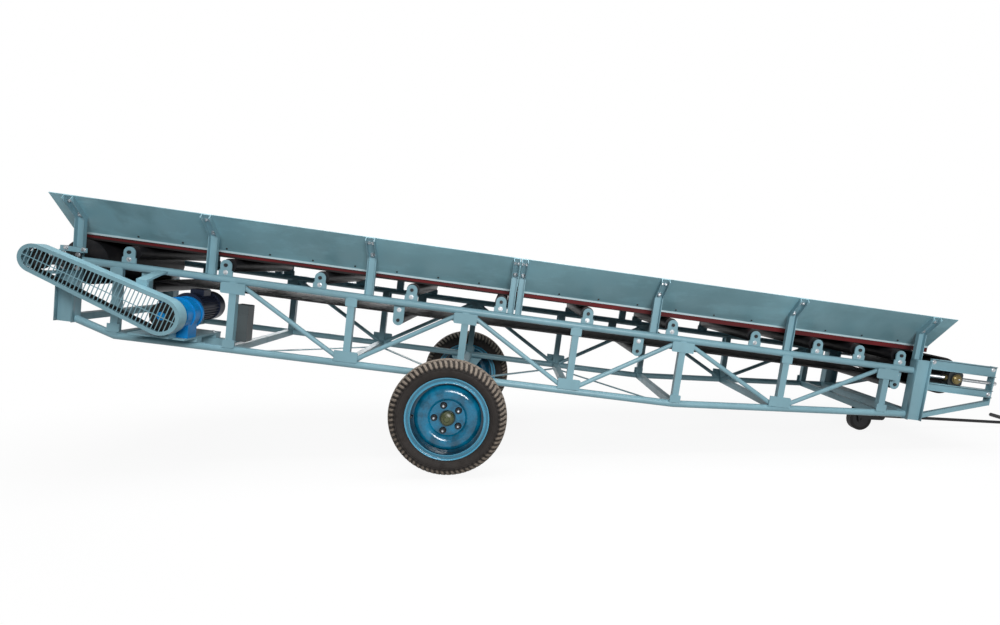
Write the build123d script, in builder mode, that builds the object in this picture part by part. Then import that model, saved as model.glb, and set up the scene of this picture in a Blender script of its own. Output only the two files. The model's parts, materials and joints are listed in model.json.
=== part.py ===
"""Portable belt conveyor: two pipe trusses carry a flat belt between flared side boards.

The machine stands on a two-wheeled road axle and on a steered tail wheel with a pull bar.
Deck coordinates: u along the belt from head to tail, v across to the far side, w square to the belt.
"""

import os
from math import acos, asin, atan2, cos, degrees, hypot, radians, sin, tan

from build123d import *

os.makedirs("parts", exist_ok=True)

# Stance: the deck's reference point is the top chord's centre at the first panel point
deck_tilt = 7.9
tail_foot_height = 201.0
axle_panel = 2
axle_lead = 15.6  # along the deck, ahead of the axle's panel point
tail_wheel_lead = 29.3  # level run ahead of the tail post's foot

# Fits
weld_gap = 0.2
seat_gap = 0.3
running_gap = 0.05
sweep_gap = 5.0  # room between pieces that move past each other

# Trusses
truss_half = 500.0
truss_depth = 400.0
panel_length = 662.0
panel_count = 6
tail_kink_panel = 4
head_kink_u = -630.0
head_slope = 18.0
tail_slope = 4.45
chord_radius = 21.15
chord_wall = 3.2
vertical_size = 40.0
vertical_wall = 2.5
diagonal_radius = 13.5
diagonal_wall = 2.6
gusset_thickness = 6.0
gusset_lap = 8.0
gusset_chamfer = 6.0
large_gusset = (136.0, 63.0)  # length along the chord, height
small_gusset = (66.0, 46.0)
brace_width = 22.0
brace_thickness = 6.0
brace_end_v = 440.0

# Head and tail posts, channels with their flanges inwards
post_web = 96.0
post_depth = 50.0
post_wall = 7.0
post_top_w = 72.0
ledge_run = (-918.0, -790.0)  # along the head posts' tops
ledge_leg = (26.0, 34.0)  # upright and level leg
ledge_sheet = 5.0
head_post_u = -887.0
tail_overrun = 218.0  # from the last panel point to the tail post
head_foot_w = -350.0
tail_foot_w = -312.0

# Side boards
board_sheet = 3.0
board_v = 401.0  # outer face of the upright strip
board_low_w = 148.0
board_kink = (500.0, 246.0)  # v and w where the posts bend under the flared sheet
board_top = (617.0, 348.0)
board_head_u = -943.0
board_overhang = 100.0  # past the tail post
board_joint_u = 1604.0
board_joint_gap = 2.0
board_post_width = 50.0
board_post_depth = 28.0
board_post_sheet = 4.0
joint_post_width = 38.0
joint_post_spacing = 46.0
board_post_us = (-130.0, 754.0)
board_head_post_u = -841.0  # this one and the last one stand on the head and tail posts
board_post_lead = 39.0  # of the last one, ahead of the tail post
tail_bay_count = 3  # bays between the joint and the last post
rubber_thickness = 10.0
rubber_top_w = 160.0

# Belt, drums and rollers
belt_half = 385.0
belt_thickness = 10.0
head_drum_radius = 125.0
tail_drum_radius = 109.5
drum_half = 410.0
drum_wall = 8.0
shaft_radius = 25.0
head_shaft_u = -868.0
tail_shaft_run = 240.0  # past the tail post
roller_radius = 38.0
roller_half = 460.0
roller_wall = 4.0
roller_w = 81.0
roller_pin_radius = 10.0
roller_pin_reach = 9.0
first_roller_u = -580.0
roller_count = 8
roller_lead = 405.0  # from the last of these to the first of the tail rollers
tail_roller_leads = (690.0, 415.0, 140.0)  # ahead of the tail post
bracket_thickness = 8.0
bracket_radius = 31.0
bracket_foot = (76.0, 30.0)  # length, height above the chord
return_radius = 30.0
return_half = 440.0
head_return_us = (-490.0, 930.0, 2380.0)
tail_return_lead = 130.0  # ahead of the tail post
return_w = -67.0  # upper face of the returning belt
hanger_thickness = 6.0
hanger_radius = 31.0
hanger_lap = 12.0

# Shaft bearings and take-up
bearing_size = 100.0
bearing_base = 12.0
bearing_nose_radius = 42.0
bearing_nose = 38.0
shaft_end = 8.0
take_up_run = 490.0  # past the tail post
take_up_wall = 5.0
take_up_depth = 50.0
upper_rail = (24.0, 90.0)  # lower and upper edge
lower_rail = (-110.0, -62.0)
end_plate_thickness = 8.0
end_plate_drop = 50.0
strut_size = 30.0
take_up_block_length = 96.0
take_up_nose_radius = 34.0
take_up_nose = 10.0
screw_radius = 11.0
screw_nut_radius = 19.0
screw_nut = 16.0

# Drive
drive_u = -248.0
drive_w = -218.0
reducer_radius = 88.0
reducer_front_v = -665.0
reducer_back_v = -500.0
reducer_flange_radius = 94.0
reducer_flange = 18.0
reducer_nose_radius = 55.0
reducer_nose = 22.0
reducer_foot = (150.0, 90.0)  # length along u, width along v
motor_rise = 28.0  # above the output shaft
motor_radius = 80.0
motor_back_v = -230.0
motor_cowl_radius = 86.0
motor_cowl = 62.0
motor_wall = 12.0
fin_count = 28
fin_height = 8.0
fin_thickness = 4.0
terminal_box = (76.0, 84.0, 22.0)
base_head_u = -470.0
base_tail_u = -172.0
base_thickness = 10.0
base_front_v = -660.0
base_back_v = -236.0
base_top_w = -345.0
base_foot = (66.0, 60.0)  # length along u, width along v
base_rail_v = -270.0
output_radius = 22.0
chain_v = -742.0
chain_width = 12.0
chain_thickness = 15.0
link_pitch = 25.4
link_length = 34.0
link_sheet = 3.0
roller_band = 9.0
drive_sprocket_radius = 70.0
head_sprocket_radius = 46.0
sprocket_width = 9.0
sprocket_boss_radius = 38.0
sprocket_boss = 34.0
guard_front_v = -780.0
guard_back_v = -705.0
guard_sheet = 2.5
guard_overrun = 17.0  # past the head shaft
guard_head_radius = 75.0
guard_drive_radius = 102.0
guard_arm = (40.0, 14.0)  # width, height
guard_arm_lap = 10.0
guard_strip_u = -385.0
guard_strip = (55.0, 8.0)  # width, thickness
guard_strip_low_w = -84.0
grille_thickness = 3.0
grille_rim = 20.0
grille_pitch = 21.0
grille_bar = 4.0

# Control box inside the near truss
box_width = 76.0
box_height = 214.0
box_depth = 80.0
box_head_u = 2.0
box_top_w = -137.0
box_plate = 4.0
box_fillet = 6.0

# Road axle and wheels
wheel_radius = 330.0
track_half = 754.0
axle_size = 70.0
axle_wall = 6.0
bare_spindle = 60.0  # between the hub and the axle's shoulder
spindle_radius = 25.0
pedestal_top = 220.0
pedestal_foot = 90.0
pedestal_width = 66.0
pedestal_wall = 8.0
tyre_width = 152.0
tyre_shoulder_radius = 312.0
tyre_shoulder_half = 58.0
tyre_bulge_radius = 274.0
tyre_wall = 16.0
bead_radius = 206.0
bead_half = 56.0
rim_flange_radius = 232.0
rim_wall = 6.0
disc_wall = 7.0
lug_face_radius = 98.0
lug_face_out = 22.0
disc_ring_radius = 146.0
disc_ring_out = 45.0
disc_edge_radius = 187.0
disc_edge_out = 12.0
lip_groove = (212.0, 225.0, 3.0)  # inner and outer radius, depth
hub_radius = 46.0
hub_inner = 74.0
hub_flange_radius = 94.0
hub_flange = 12.0
hub_cap_radius = 40.0
hub_cap_out = 62.0
hub_button_radius = 13.0
hub_button = 5.0
nut_circle_radius = 74.0
nut_count = 5
nut_size = 15.5
nut_phase = 33.0
nut_height = 18.0
stud_radius = 7.0
stud_room = 1.0

# Tail wheel, its fork and the pull bar
tail_radius = 80.0
tail_width = 50.0
tail_tread = 22.0
tail_pin_radius = 8.0
fork_cheek = 8.0
fork_cheek_radius = 24.0
fork_crown = 16.0
fork_crown_w = 188.0
king_pin_radius = 14.0
king_ring_radius = 40.0
tail_beam_height = 50.0
tail_beam_width = 80.0
tail_beam_wall = 4.0
tail_beam_low = 208.0
swivel_plate = (120.0, 8.0)  # side, thickness
hinge_run = 150.0
hinge_height = 96.0
hinge_pin_radius = 8.0
bar_eye_radius = 15.0
bar_length = 1102.0
bar_radius = 11.0
handle_radius = 14.0
handle_half = 280.0
handle_dome = 5.0
collar_radius = 18.0
collar_half = 24.0

# Worked-out places
tilt = radians(deck_tilt)
tail_post_u = panel_count * panel_length + tail_overrun
tail_shaft_u = tail_post_u + tail_shaft_run
take_up_end_u = tail_post_u + take_up_run
board_tail_u = tail_post_u + board_overhang
tail_roller_us = tuple(tail_post_u - lead for lead in tail_roller_leads)
roller_pitch = (tail_roller_us[0] - roller_lead - first_roller_u) / (roller_count - 1)
roller_us = tuple(first_roller_u + roller_pitch * k for k in range(roller_count)) + tail_roller_us
return_us = head_return_us + (tail_post_u - tail_return_lead,)
reference_height = tail_foot_height + tail_post_u * sin(tilt) - tail_foot_w * cos(tilt)
axle_u = axle_panel * panel_length - axle_lead
axle_run = (axle_u - (reference_height - wheel_radius) * sin(tilt)) / cos(tilt)
axle_shoulder_v = track_half - hub_inner - bare_spindle
tail_wheel_run = tail_post_u * cos(tilt) + tail_foot_w * sin(tilt) - tail_wheel_lead
hinge_drop = hinge_height - collar_radius
bar_angle = asin(hinge_drop / bar_length)
belt_low = roller_w + roller_radius + seat_gap
head_wrap = head_drum_radius + seat_gap
tail_wrap = tail_drum_radius + seat_gap
head_shaft_w = belt_low - head_wrap
post_tip = (head_post_u - post_web / 2) * cos(tilt) + head_foot_w * sin(tilt)
belt_tip = head_shaft_u * cos(tilt) + head_shaft_w * sin(tilt) - head_wrap - belt_thickness
handle_run = tail_wheel_run + hinge_run + bar_length * cos(bar_angle)
reference_x = -(min(post_tip, belt_tip) + handle_run + collar_radius) / 2
axle_x = reference_x + axle_run
tail_x = reference_x + tail_wheel_run
hinge_x = tail_x + hinge_run
handle_x = reference_x + handle_run

deck = Plane(
    origin=(reference_x, 0, reference_height),
    x_dir=(cos(tilt), 0, -sin(tilt)),
    z_dir=(sin(tilt), 0, cos(tilt)),
)
tail_kink_u = tail_kink_panel * panel_length
panel_us = tuple(panel_length * k for k in range(panel_count + 1))
head_face_u = head_post_u + post_web / 2
tail_face_u = tail_post_u - post_web / 2
post_out = truss_half + chord_radius
post_in = post_out - post_depth
tail_shaft_w = (upper_rail[0] + lower_rail[1]) / 2
last_roller_u = roller_us[-1]
carry_wrap = roller_radius + seat_gap
return_wrap = return_radius + seat_gap + belt_thickness
return_axis_w = return_w - return_wrap
sides = (("near", -1), ("far", 1))


def on_deck(u, v, w):
    """World point for deck coordinates."""
    return deck.from_local_coords(Vector(u, v, w))


def side_plane(v):
    """Sketch plane along the deck, with u and w as its axes, facing the near side."""
    return Plane(origin=on_deck(0, v, 0), x_dir=deck.x_dir, z_dir=(0, -1, 0))


def section_plane(u):
    """Sketch plane across the deck, with v and w as its axes, facing the tail."""
    return Plane(origin=on_deck(u, 0, 0), x_dir=(0, 1, 0), z_dir=deck.x_dir)


def deck_plane(w):
    """Sketch plane parallel to the belt, with u and v as its axes."""
    return deck.offset(w)


def level_side(v):
    """Upright sketch plane in level axes, with x and z as its axes, facing the near side."""
    return Plane(origin=(0, v, 0), x_dir=(1, 0, 0), z_dir=(0, -1, 0))


def between(start, end):
    """Sketch plane at start that faces end."""
    return Plane(origin=start, x_dir=(0, 1, 0), z_dir=end - start)


def bottom_w(u):
    """Height of the bottom chord's centre line."""
    head_rise = tan(radians(head_slope)) * max(0.0, head_kink_u - u)
    tail_rise = tan(radians(tail_slope)) * max(0.0, u - tail_kink_u)
    return head_rise + tail_rise - truss_depth


def truss_node(index):
    """Point where the diagonals meet at a panel point, by turns on the top and bottom chord."""
    u = panel_us[index]
    return (u, 0.0) if index % 2 == 0 else (u, bottom_w(u))


def tangent_angle(centre, point, radius, turn):
    """Angle on a circle where the tangent to a point outside leaves it, in degrees."""
    run = point[0] - centre[0]
    rise = point[1] - centre[1]
    return degrees(atan2(rise, run) + turn * acos(radius / hypot(run, rise)))


def save(piece, name):
    """Label a finished piece and write it."""
    piece.part.label = name
    export_step(piece.part, f"parts/{name}.step")


# Trusses with their gussets
vertical_us = (head_kink_u,) + panel_us
node_points = [truss_node(index) for index in range(panel_count + 1)]
for side_name, side in sides:
    truss_v = side * truss_half
    plate_v = side * (truss_half + vertical_size / 2)
    chord_path_us = (head_face_u - chord_radius, head_kink_u, tail_kink_u, tail_face_u + chord_radius)

    with BuildPart() as chords:
        with BuildSketch(section_plane(head_face_u)) as chord_ring:
            with Locations((truss_v, 0)):
                Circle(chord_radius)
                Circle(chord_radius - chord_wall, mode=Mode.SUBTRACT)
        extrude(amount=tail_face_u - head_face_u)
        with BuildLine(side_plane(truss_v)) as bottom_line:
            Polyline(*[(u, bottom_w(u)) for u in chord_path_us])
        with BuildSketch(Plane(origin=bottom_line.line @ 0, z_dir=bottom_line.line % 0)) as bottom_ring:
            Circle(chord_radius)
            Circle(chord_radius - chord_wall, mode=Mode.SUBTRACT)
        sweep(path=bottom_line.line, transition=Transition.RIGHT)
        split(bisect_by=section_plane(head_face_u), keep=Keep.TOP)
        split(bisect_by=section_plane(tail_face_u), keep=Keep.BOTTOM)
    save(chords, f"{side_name}_chords")

    # Solid chords, a weld gap larger, that the web tubes are cut to fit
    with BuildPart() as chord_cope:
        with BuildSketch(section_plane(head_face_u)) as cope_disc:
            with Locations((truss_v, 0)):
                Circle(chord_radius + weld_gap)
        extrude(amount=tail_face_u - head_face_u)
        with BuildLine(side_plane(truss_v)) as cope_line:
            Polyline(*[(u, bottom_w(u)) for u in chord_path_us])
        with BuildSketch(Plane(origin=cope_line.line @ 0, z_dir=cope_line.line % 0)) as cope_ring:
            Circle(chord_radius + weld_gap)
        sweep(path=cope_line.line, transition=Transition.RIGHT)

    with BuildPart() as verticals:
        for u in vertical_us:
            with BuildSketch(deck_plane(bottom_w(u))) as vertical_ring:
                with Locations((u, truss_v)):
                    Rectangle(vertical_size, vertical_size)
                    inner = vertical_size - 2 * vertical_wall
                    Rectangle(inner, inner, mode=Mode.SUBTRACT)
            extrude(amount=-bottom_w(u))
        add(chord_cope.part, mode=Mode.SUBTRACT)
    save(verticals, f"{side_name}_verticals")

    with BuildPart() as diagonals:
        for index in range(panel_count):
            start = on_deck(node_points[index][0], truss_v, node_points[index][1])
            end = on_deck(node_points[index + 1][0], truss_v, node_points[index + 1][1])
            with BuildSketch(between(start, end)) as diagonal_ring:
                Circle(diagonal_radius)
                Circle(diagonal_radius - diagonal_wall, mode=Mode.SUBTRACT)
            extrude(amount=(end - start).length)
        for u in panel_us:
            with BuildSketch(deck_plane(-2 * truss_depth)) as vertical_room:
                with Locations((u, truss_v)):
                    Rectangle(vertical_size + 2 * weld_gap, vertical_size + 2 * weld_gap)
            extrude(amount=3 * truss_depth, mode=Mode.SUBTRACT)
        add(chord_cope.part, mode=Mode.SUBTRACT)
    save(diagonals, f"{side_name}_diagonals")

    with BuildPart() as gussets:
        for u in vertical_us:
            low_w = max(bottom_w(u), bottom_w(u - small_gusset[0] / 2))
            for chord_w, inward in ((0.0, -1), (low_w, 1)):
                length, height = large_gusset if (u, chord_w) in node_points else small_gusset
                near_edge = chord_w + inward * (chord_radius - gusset_lap)
                with BuildSketch(side_plane(plate_v)) as gusset_face:
                    with Locations((u, near_edge + inward * height / 2)):
                        Rectangle(length, height)
                    corners = gusset_face.vertices().sort_by(Axis(deck.origin, deck.z_dir * inward))[-2:]
                    chamfer(corners, gusset_chamfer * height / large_gusset[1])
                extrude(amount=-side * gusset_thickness)
    save(gussets, f"{side_name}_gussets")

# Tubes across the bottom of the trusses, and flats braced under them
cross_half = truss_half - chord_radius - weld_gap
with BuildPart() as cross_members:
    for u in vertical_us:
        with BuildSketch(side_plane(0)) as cross_ring:
            with Locations((u, bottom_w(u))):
                Rectangle(vertical_size, vertical_size)
                inner = vertical_size - 2 * vertical_wall
                Rectangle(inner, inner, mode=Mode.SUBTRACT)
        extrude(amount=cross_half, both=True)
    with BuildSketch(side_plane(0)) as head_cross_ring:
        with Locations((head_post_u, head_foot_w + vertical_size / 2)):
            Rectangle(vertical_size, vertical_size)
            Rectangle(inner, inner, mode=Mode.SUBTRACT)
    extrude(amount=post_out - post_wall, both=True)
save(cross_members, "cross_members")

with BuildPart() as braces:
    for index in range(tail_kink_panel):
        run = panel_length - 1.5 * brace_width
        turn = 1 if index % 2 == 0 else -1
        length = hypot(run, 2 * brace_end_v)
        angle = degrees(atan2(2 * brace_end_v * turn, run))
        with BuildSketch(deck_plane(-truss_depth - vertical_size / 2)) as brace_face:
            with Locations(Location((panel_us[index] + panel_length / 2, 0), angle)):
                Rectangle(length, brace_width)
        extrude(amount=-brace_thickness)
save(braces, "plan_braces")

# Head and tail posts
ledge_low_w = post_top_w - ledge_leg[0]
for post_name, post_u, foot_w, shaft_w, shaft_u, ledges in (
    ("head_posts", head_post_u, head_foot_w, head_shaft_w, head_shaft_u, (ledge_run,)),
    ("tail_posts", tail_post_u, tail_foot_w, tail_shaft_w, tail_shaft_u, ()),
):
    with BuildPart() as posts:
        for side_name, side in sides:
            with BuildSketch(deck_plane(foot_w)) as post_face:
                with Locations((post_u, side * (post_out - post_depth / 2))):
                    Rectangle(post_web, post_depth)
                with Locations((post_u, side * (post_out - post_depth / 2 - post_wall))):
                    Rectangle(post_web - 2 * post_wall, post_depth, mode=Mode.SUBTRACT)
            extrude(amount=post_top_w - foot_w)
            for ledge_head_u, ledge_tail_u in ledges:
                with BuildSketch(section_plane(ledge_head_u)) as ledge_section:
                    with Locations((side * (post_out + ledge_sheet / 2), (ledge_low_w + post_top_w) / 2)):
                        Rectangle(ledge_sheet, ledge_leg[0])
                    with Locations((side * (post_out + ledge_leg[1] / 2), ledge_low_w + ledge_sheet / 2)):
                        Rectangle(ledge_leg[1], ledge_sheet)
                extrude(amount=ledge_tail_u - ledge_head_u)
        with BuildSketch(side_plane(0)) as shaft_room:
            with Locations((shaft_u, shaft_w)):
                Circle(shaft_radius + sweep_gap)
        extrude(amount=2 * truss_half, both=True, mode=Mode.SUBTRACT)
    save(posts, post_name)

# Side boards on their posts, with the rubber strips inside
flare_slope = (board_top[1] - board_kink[1]) / (board_top[0] - board_kink[0])
crease_w = board_kink[1] - (board_kink[0] - board_v) * flare_slope
flare_angle = atan2(board_top[1] - board_kink[1], board_top[0] - board_kink[0])
post_inner_v = board_kink[0] - board_post_sheet


def band(points, depth):
    """Outline of a strip along three points, with its depth towards the outside and below."""
    low, knee, tip = points
    bend = (radians(90) - flare_angle) / 2
    knee_out = (knee[0] + depth, knee[1] - depth * tan(bend))
    tip_out = (tip[0] + depth * sin(flare_angle), tip[1] - depth * cos(flare_angle))
    return [low, knee, tip, tip_out, knee_out, (low[0] + depth, low[1])]


def mirrored(points, side):
    """Section points on one side of the deck."""
    return [(side * v, w) for v, w in points]


for side_name, side in sides:
    board_line = ((board_v, board_low_w), (board_v, crease_w), board_top)
    inset = board_sheet * tan((radians(90) - flare_angle) / 2)
    board_inner = (
        (board_v - board_sheet, board_low_w),
        (board_v - board_sheet, crease_w + inset),
        (board_top[0] - board_sheet * sin(flare_angle), board_top[1] + board_sheet * cos(flare_angle)),
    )
    spans = (
        (board_head_u, board_joint_u - board_joint_gap / 2),
        (board_joint_u + board_joint_gap / 2, board_tail_u),
    )
    with BuildPart() as boards:
        for start_u, end_u in spans:
            with BuildSketch(section_plane(start_u)) as board_section:
                with BuildLine() as board_outline:
                    Polyline(*mirrored(band(board_inner, board_sheet), side), close=True)
                make_face()
            extrude(amount=end_u - start_u)
    save(boards, f"{side_name}_side_boards")

    foot_chord = chord_radius + weld_gap
    last_post_u = tail_post_u - board_post_lead
    bay = (last_post_u - board_joint_u) / tail_bay_count
    tail_us = tuple(board_joint_u + bay * k for k in range(1, tail_bay_count))
    post_table = [(u, foot_chord, board_post_width) for u in board_post_us + tail_us]
    post_table += [(u, post_top_w, board_post_width) for u in (board_head_post_u, last_post_u)]
    for turn in (-1, 1):
        post_table.append((board_joint_u + turn * joint_post_spacing / 2, foot_chord, joint_post_width))
    knee = (post_inner_v, crease_w + (post_inner_v - board_v) * flare_slope)
    with BuildPart() as board_posts:
        for u, foot, post_width in post_table:
            post_line = ((post_inner_v, foot), knee, board_top)
            for depth, width, place in (
                (board_post_sheet, post_width, -post_width / 2),
                (board_post_depth, board_post_sheet, -post_width / 2),
                (board_post_depth, board_post_sheet, post_width / 2 - board_post_sheet),
            ):
                with BuildSketch(section_plane(u + place)) as post_section:
                    with BuildLine() as post_outline:
                        Polyline(*mirrored(band(post_line, depth), side), close=True)
                    make_face()
                extrude(amount=width)
    save(board_posts, f"{side_name}_board_posts")

with BuildPart() as rubbers:
    for side_name, side in sides:
        with BuildSketch(section_plane(board_head_u)) as rubber_section:
            rubber_low = belt_low
            rubber_v = board_v - board_sheet - rubber_thickness / 2
            with Locations((side * rubber_v, (rubber_low + rubber_top_w) / 2)):
                Rectangle(rubber_thickness, rubber_top_w - rubber_low)
        extrude(amount=board_tail_u - board_head_u)
save(rubbers, "skirt_rubbers")

# Belt loop over the head drum, the carrying rollers, the tail drum and the return rollers
head_centre = (head_shaft_u, head_shaft_w)
tail_centre = (tail_shaft_u, tail_shaft_w)
first_return = (return_us[0], return_axis_w)
last_return = (return_us[-1], return_axis_w)
last_carry = (last_roller_u, roller_w)
head_leave = tangent_angle(head_centre, first_return, head_wrap + return_wrap, -1)
tail_meet = tangent_angle(tail_centre, last_return, tail_wrap + return_wrap, 1)
tail_leave = tangent_angle(tail_centre, last_carry, tail_wrap - carry_wrap, -1)


def belt_path():
    """Inner face of the belt as edges of the active line."""
    head_arc = CenterArc(head_centre, head_wrap, 90, head_leave + 270)
    first_arc = CenterArc(first_return, return_wrap, 90, head_leave + 90)
    last_arc = CenterArc(last_return, return_wrap, 90, tail_meet + 90)
    tail_arc = CenterArc(tail_centre, tail_wrap, tail_meet, tail_leave - tail_meet)
    carry_arc = CenterArc(last_carry, carry_wrap, 90, tail_leave - 90)
    Line(head_arc @ 1, first_arc @ 1)
    Line(first_arc @ 0, last_arc @ 0)
    Line(last_arc @ 1, tail_arc @ 0)
    Line(tail_arc @ 1, carry_arc @ 1)
    Line(carry_arc @ 0, head_arc @ 0)


with BuildPart() as belt:
    with BuildSketch(side_plane(0)) as belt_outside:
        with BuildLine() as belt_line:
            belt_path()
        make_face()
        offset(amount=belt_thickness)
    extrude(amount=belt_half, both=True)
    with BuildSketch(side_plane(0)) as belt_inside:
        with BuildLine() as belt_inner_line:
            belt_path()
        make_face()
    extrude(amount=belt_half, both=True, mode=Mode.SUBTRACT)
save(belt, "belt")

# Drums on their shafts
bearing_face = post_out + bearing_base + bearing_nose
head_shaft_near = -chain_v + sprocket_boss / 2 + shaft_end
head_shaft_far = bearing_face + shaft_end
tail_shaft_reach = truss_half + chord_radius + shaft_end
for drum_name, centre, drum_radius, near_reach, far_reach in (
    ("head_drum", head_centre, head_drum_radius, head_shaft_near, head_shaft_far),
    ("tail_drum", tail_centre, tail_drum_radius, tail_shaft_reach, tail_shaft_reach),
):
    with BuildPart() as drum:
        with BuildSketch(side_plane(0)) as drum_disc:
            with Locations(centre):
                Circle(drum_radius)
        extrude(amount=drum_half, both=True)
        with BuildSketch(side_plane(0)) as drum_room:
            with Locations(centre):
                Circle(drum_radius - drum_wall)
                Circle(shaft_radius, mode=Mode.SUBTRACT)
        extrude(amount=drum_half - drum_wall, both=True, mode=Mode.SUBTRACT)
        with BuildSketch(side_plane(far_reach)) as shaft_disc:
            with Locations(centre):
                Circle(shaft_radius)
        extrude(amount=near_reach + far_reach)
    save(drum, drum_name)

with BuildPart() as head_bearings:
    for side_name, side in sides:
        with BuildSketch(side_plane(side * post_out)) as bearing_plate:
            with Locations(head_centre):
                RectangleRounded(bearing_size, bearing_size, bearing_size / 6)
                Circle(shaft_radius + running_gap, mode=Mode.SUBTRACT)
        extrude(amount=-side * bearing_base)
        with BuildSketch(side_plane(side * (post_out + bearing_base))) as bearing_ring:
            with Locations(head_centre):
                Circle(bearing_nose_radius)
                Circle(shaft_radius + running_gap, mode=Mode.SUBTRACT)
        extrude(amount=-side * bearing_nose)
save(head_bearings, "head_bearings")

# Carrying rollers on their brackets, return rollers on their hangers
carry_pin_half = truss_half + bracket_thickness / 2 + roller_pin_reach
hanger_v = truss_half - chord_radius - weld_gap - hanger_thickness / 2
return_pin_half = hanger_v + hanger_thickness / 2 + roller_pin_reach
for set_name, axis_w, us, radius, half, pin_half in (
    ("carrying_rollers", roller_w, roller_us, roller_radius, roller_half, carry_pin_half),
    ("return_rollers", return_axis_w, return_us, return_radius, return_half, return_pin_half),
):
    with BuildPart() as rollers:
        places = [(u, axis_w) for u in us]
        with BuildSketch(side_plane(0)) as roller_discs:
            with Locations(*places):
                Circle(radius)
        extrude(amount=half, both=True)
        with BuildSketch(side_plane(0)) as roller_room:
            with Locations(*places):
                Circle(radius - roller_wall)
                Circle(roller_pin_radius, mode=Mode.SUBTRACT)
        extrude(amount=half - roller_wall, both=True, mode=Mode.SUBTRACT)
        with BuildSketch(side_plane(0)) as roller_pins:
            with Locations(*places):
                Circle(roller_pin_radius)
        extrude(amount=pin_half, both=True)
    save(rollers, set_name)

with BuildPart() as carry_brackets:
    for side_name, side in sides:
        with BuildSketch(side_plane(side * truss_half)) as bracket_face:
            for u in roller_us:
                foot = chord_radius + weld_gap
                with Locations((u, (foot + roller_w) / 2)):
                    Rectangle(2 * bracket_radius, roller_w - foot)
                with Locations((u, foot + bracket_foot[1] / 2)):
                    Rectangle(bracket_foot[0], bracket_foot[1])
                with Locations((u, roller_w)):
                    Circle(bracket_radius)
                    Circle(roller_pin_radius + seat_gap, mode=Mode.SUBTRACT)
        extrude(amount=bracket_thickness / 2, both=True)
save(carry_brackets, "carrying_brackets")

with BuildPart() as hangers:
    for side_name, side in sides:
        with BuildSketch(side_plane(side * hanger_v)) as hanger_face:
            for u in return_us:
                with Locations((u, (hanger_lap + return_axis_w) / 2)):
                    Rectangle(2 * hanger_radius, hanger_lap - return_axis_w)
                with Locations((u, return_axis_w)):
                    Circle(hanger_radius)
                    Circle(roller_pin_radius + seat_gap, mode=Mode.SUBTRACT)
        extrude(amount=hanger_thickness / 2, both=True)
save(hangers, "return_hangers")

# Take-up frames, bearing blocks that slide in them, and their screws
rail_start_u = tail_post_u + post_web / 2
rail_length = take_up_end_u - rail_start_u
with BuildPart() as take_up_frames:
    for side_name, side in sides:
        for edges, guide_w in ((upper_rail, upper_rail[0]), (lower_rail, lower_rail[1] - take_up_wall)):
            with BuildSketch(section_plane(rail_start_u)) as rail_section:
                with Locations((side * (post_out - take_up_wall / 2), sum(edges) / 2)):
                    Rectangle(take_up_wall, edges[1] - edges[0])
                with Locations((side * (post_out - take_up_depth / 2), guide_w + take_up_wall / 2)):
                    Rectangle(take_up_depth, take_up_wall)
            extrude(amount=rail_length)
        with BuildSketch(section_plane(take_up_end_u)) as end_plate:
            plate_low = lower_rail[0] - end_plate_drop
            with Locations((side * (post_out - take_up_depth / 2), (plate_low + upper_rail[1]) / 2)):
                Rectangle(take_up_depth, upper_rail[1] - plate_low)
            with Locations((side * (post_out - take_up_depth / 2), tail_shaft_w)):
                Circle(screw_radius + seat_gap, mode=Mode.SUBTRACT)
        extrude(amount=end_plate_thickness)
        with BuildSketch(side_plane(side * post_out)) as strut_face:
            with BuildLine() as strut_outline:
                Polyline(
                    (rail_start_u, tail_foot_w + strut_size / 2),
                    (take_up_end_u, plate_low),
                    (take_up_end_u, plate_low + strut_size),
                    (rail_start_u, tail_foot_w + 1.5 * strut_size),
                    close=True,
                )
            make_face()
        extrude(amount=side * strut_size)
save(take_up_frames, "take_up_frames")

block_height = upper_rail[0] - lower_rail[1] - 2 * seat_gap
with BuildPart() as take_up_blocks:
    for side_name, side in sides:
        block_out = post_out - take_up_wall - seat_gap
        with BuildSketch(side_plane(side * block_out)) as block_face:
            with Locations(tail_centre):
                RectangleRounded(take_up_block_length, block_height, bearing_size / 6)
                Circle(shaft_radius + running_gap, mode=Mode.SUBTRACT)
        extrude(amount=side * (take_up_depth - take_up_wall))
        with BuildSketch(side_plane(side * block_out)) as nose_face:
            with Locations(tail_centre):
                Circle(take_up_nose_radius)
                Circle(shaft_radius + running_gap, mode=Mode.SUBTRACT)
        extrude(amount=-side * take_up_nose)
save(take_up_blocks, "take_up_blocks")

with BuildPart() as screws:
    for side_name, side in sides:
        screw_start_u = tail_shaft_u + take_up_block_length / 2 + seat_gap
        screw_place = (side * (post_out - take_up_depth / 2), tail_shaft_w)
        screw_end_u = take_up_end_u + end_plate_thickness + seat_gap
        with BuildSketch(section_plane(screw_start_u)) as screw_disc:
            with Locations(screw_place):
                Circle(screw_radius)
        extrude(amount=screw_end_u + 2 * screw_nut - screw_start_u)
        with BuildSketch(section_plane(screw_end_u)) as nut_face:
            with Locations(screw_place):
                RegularPolygon(screw_nut_radius, 6)
        extrude(amount=screw_nut)
save(screws, "take_up_screws")

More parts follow.
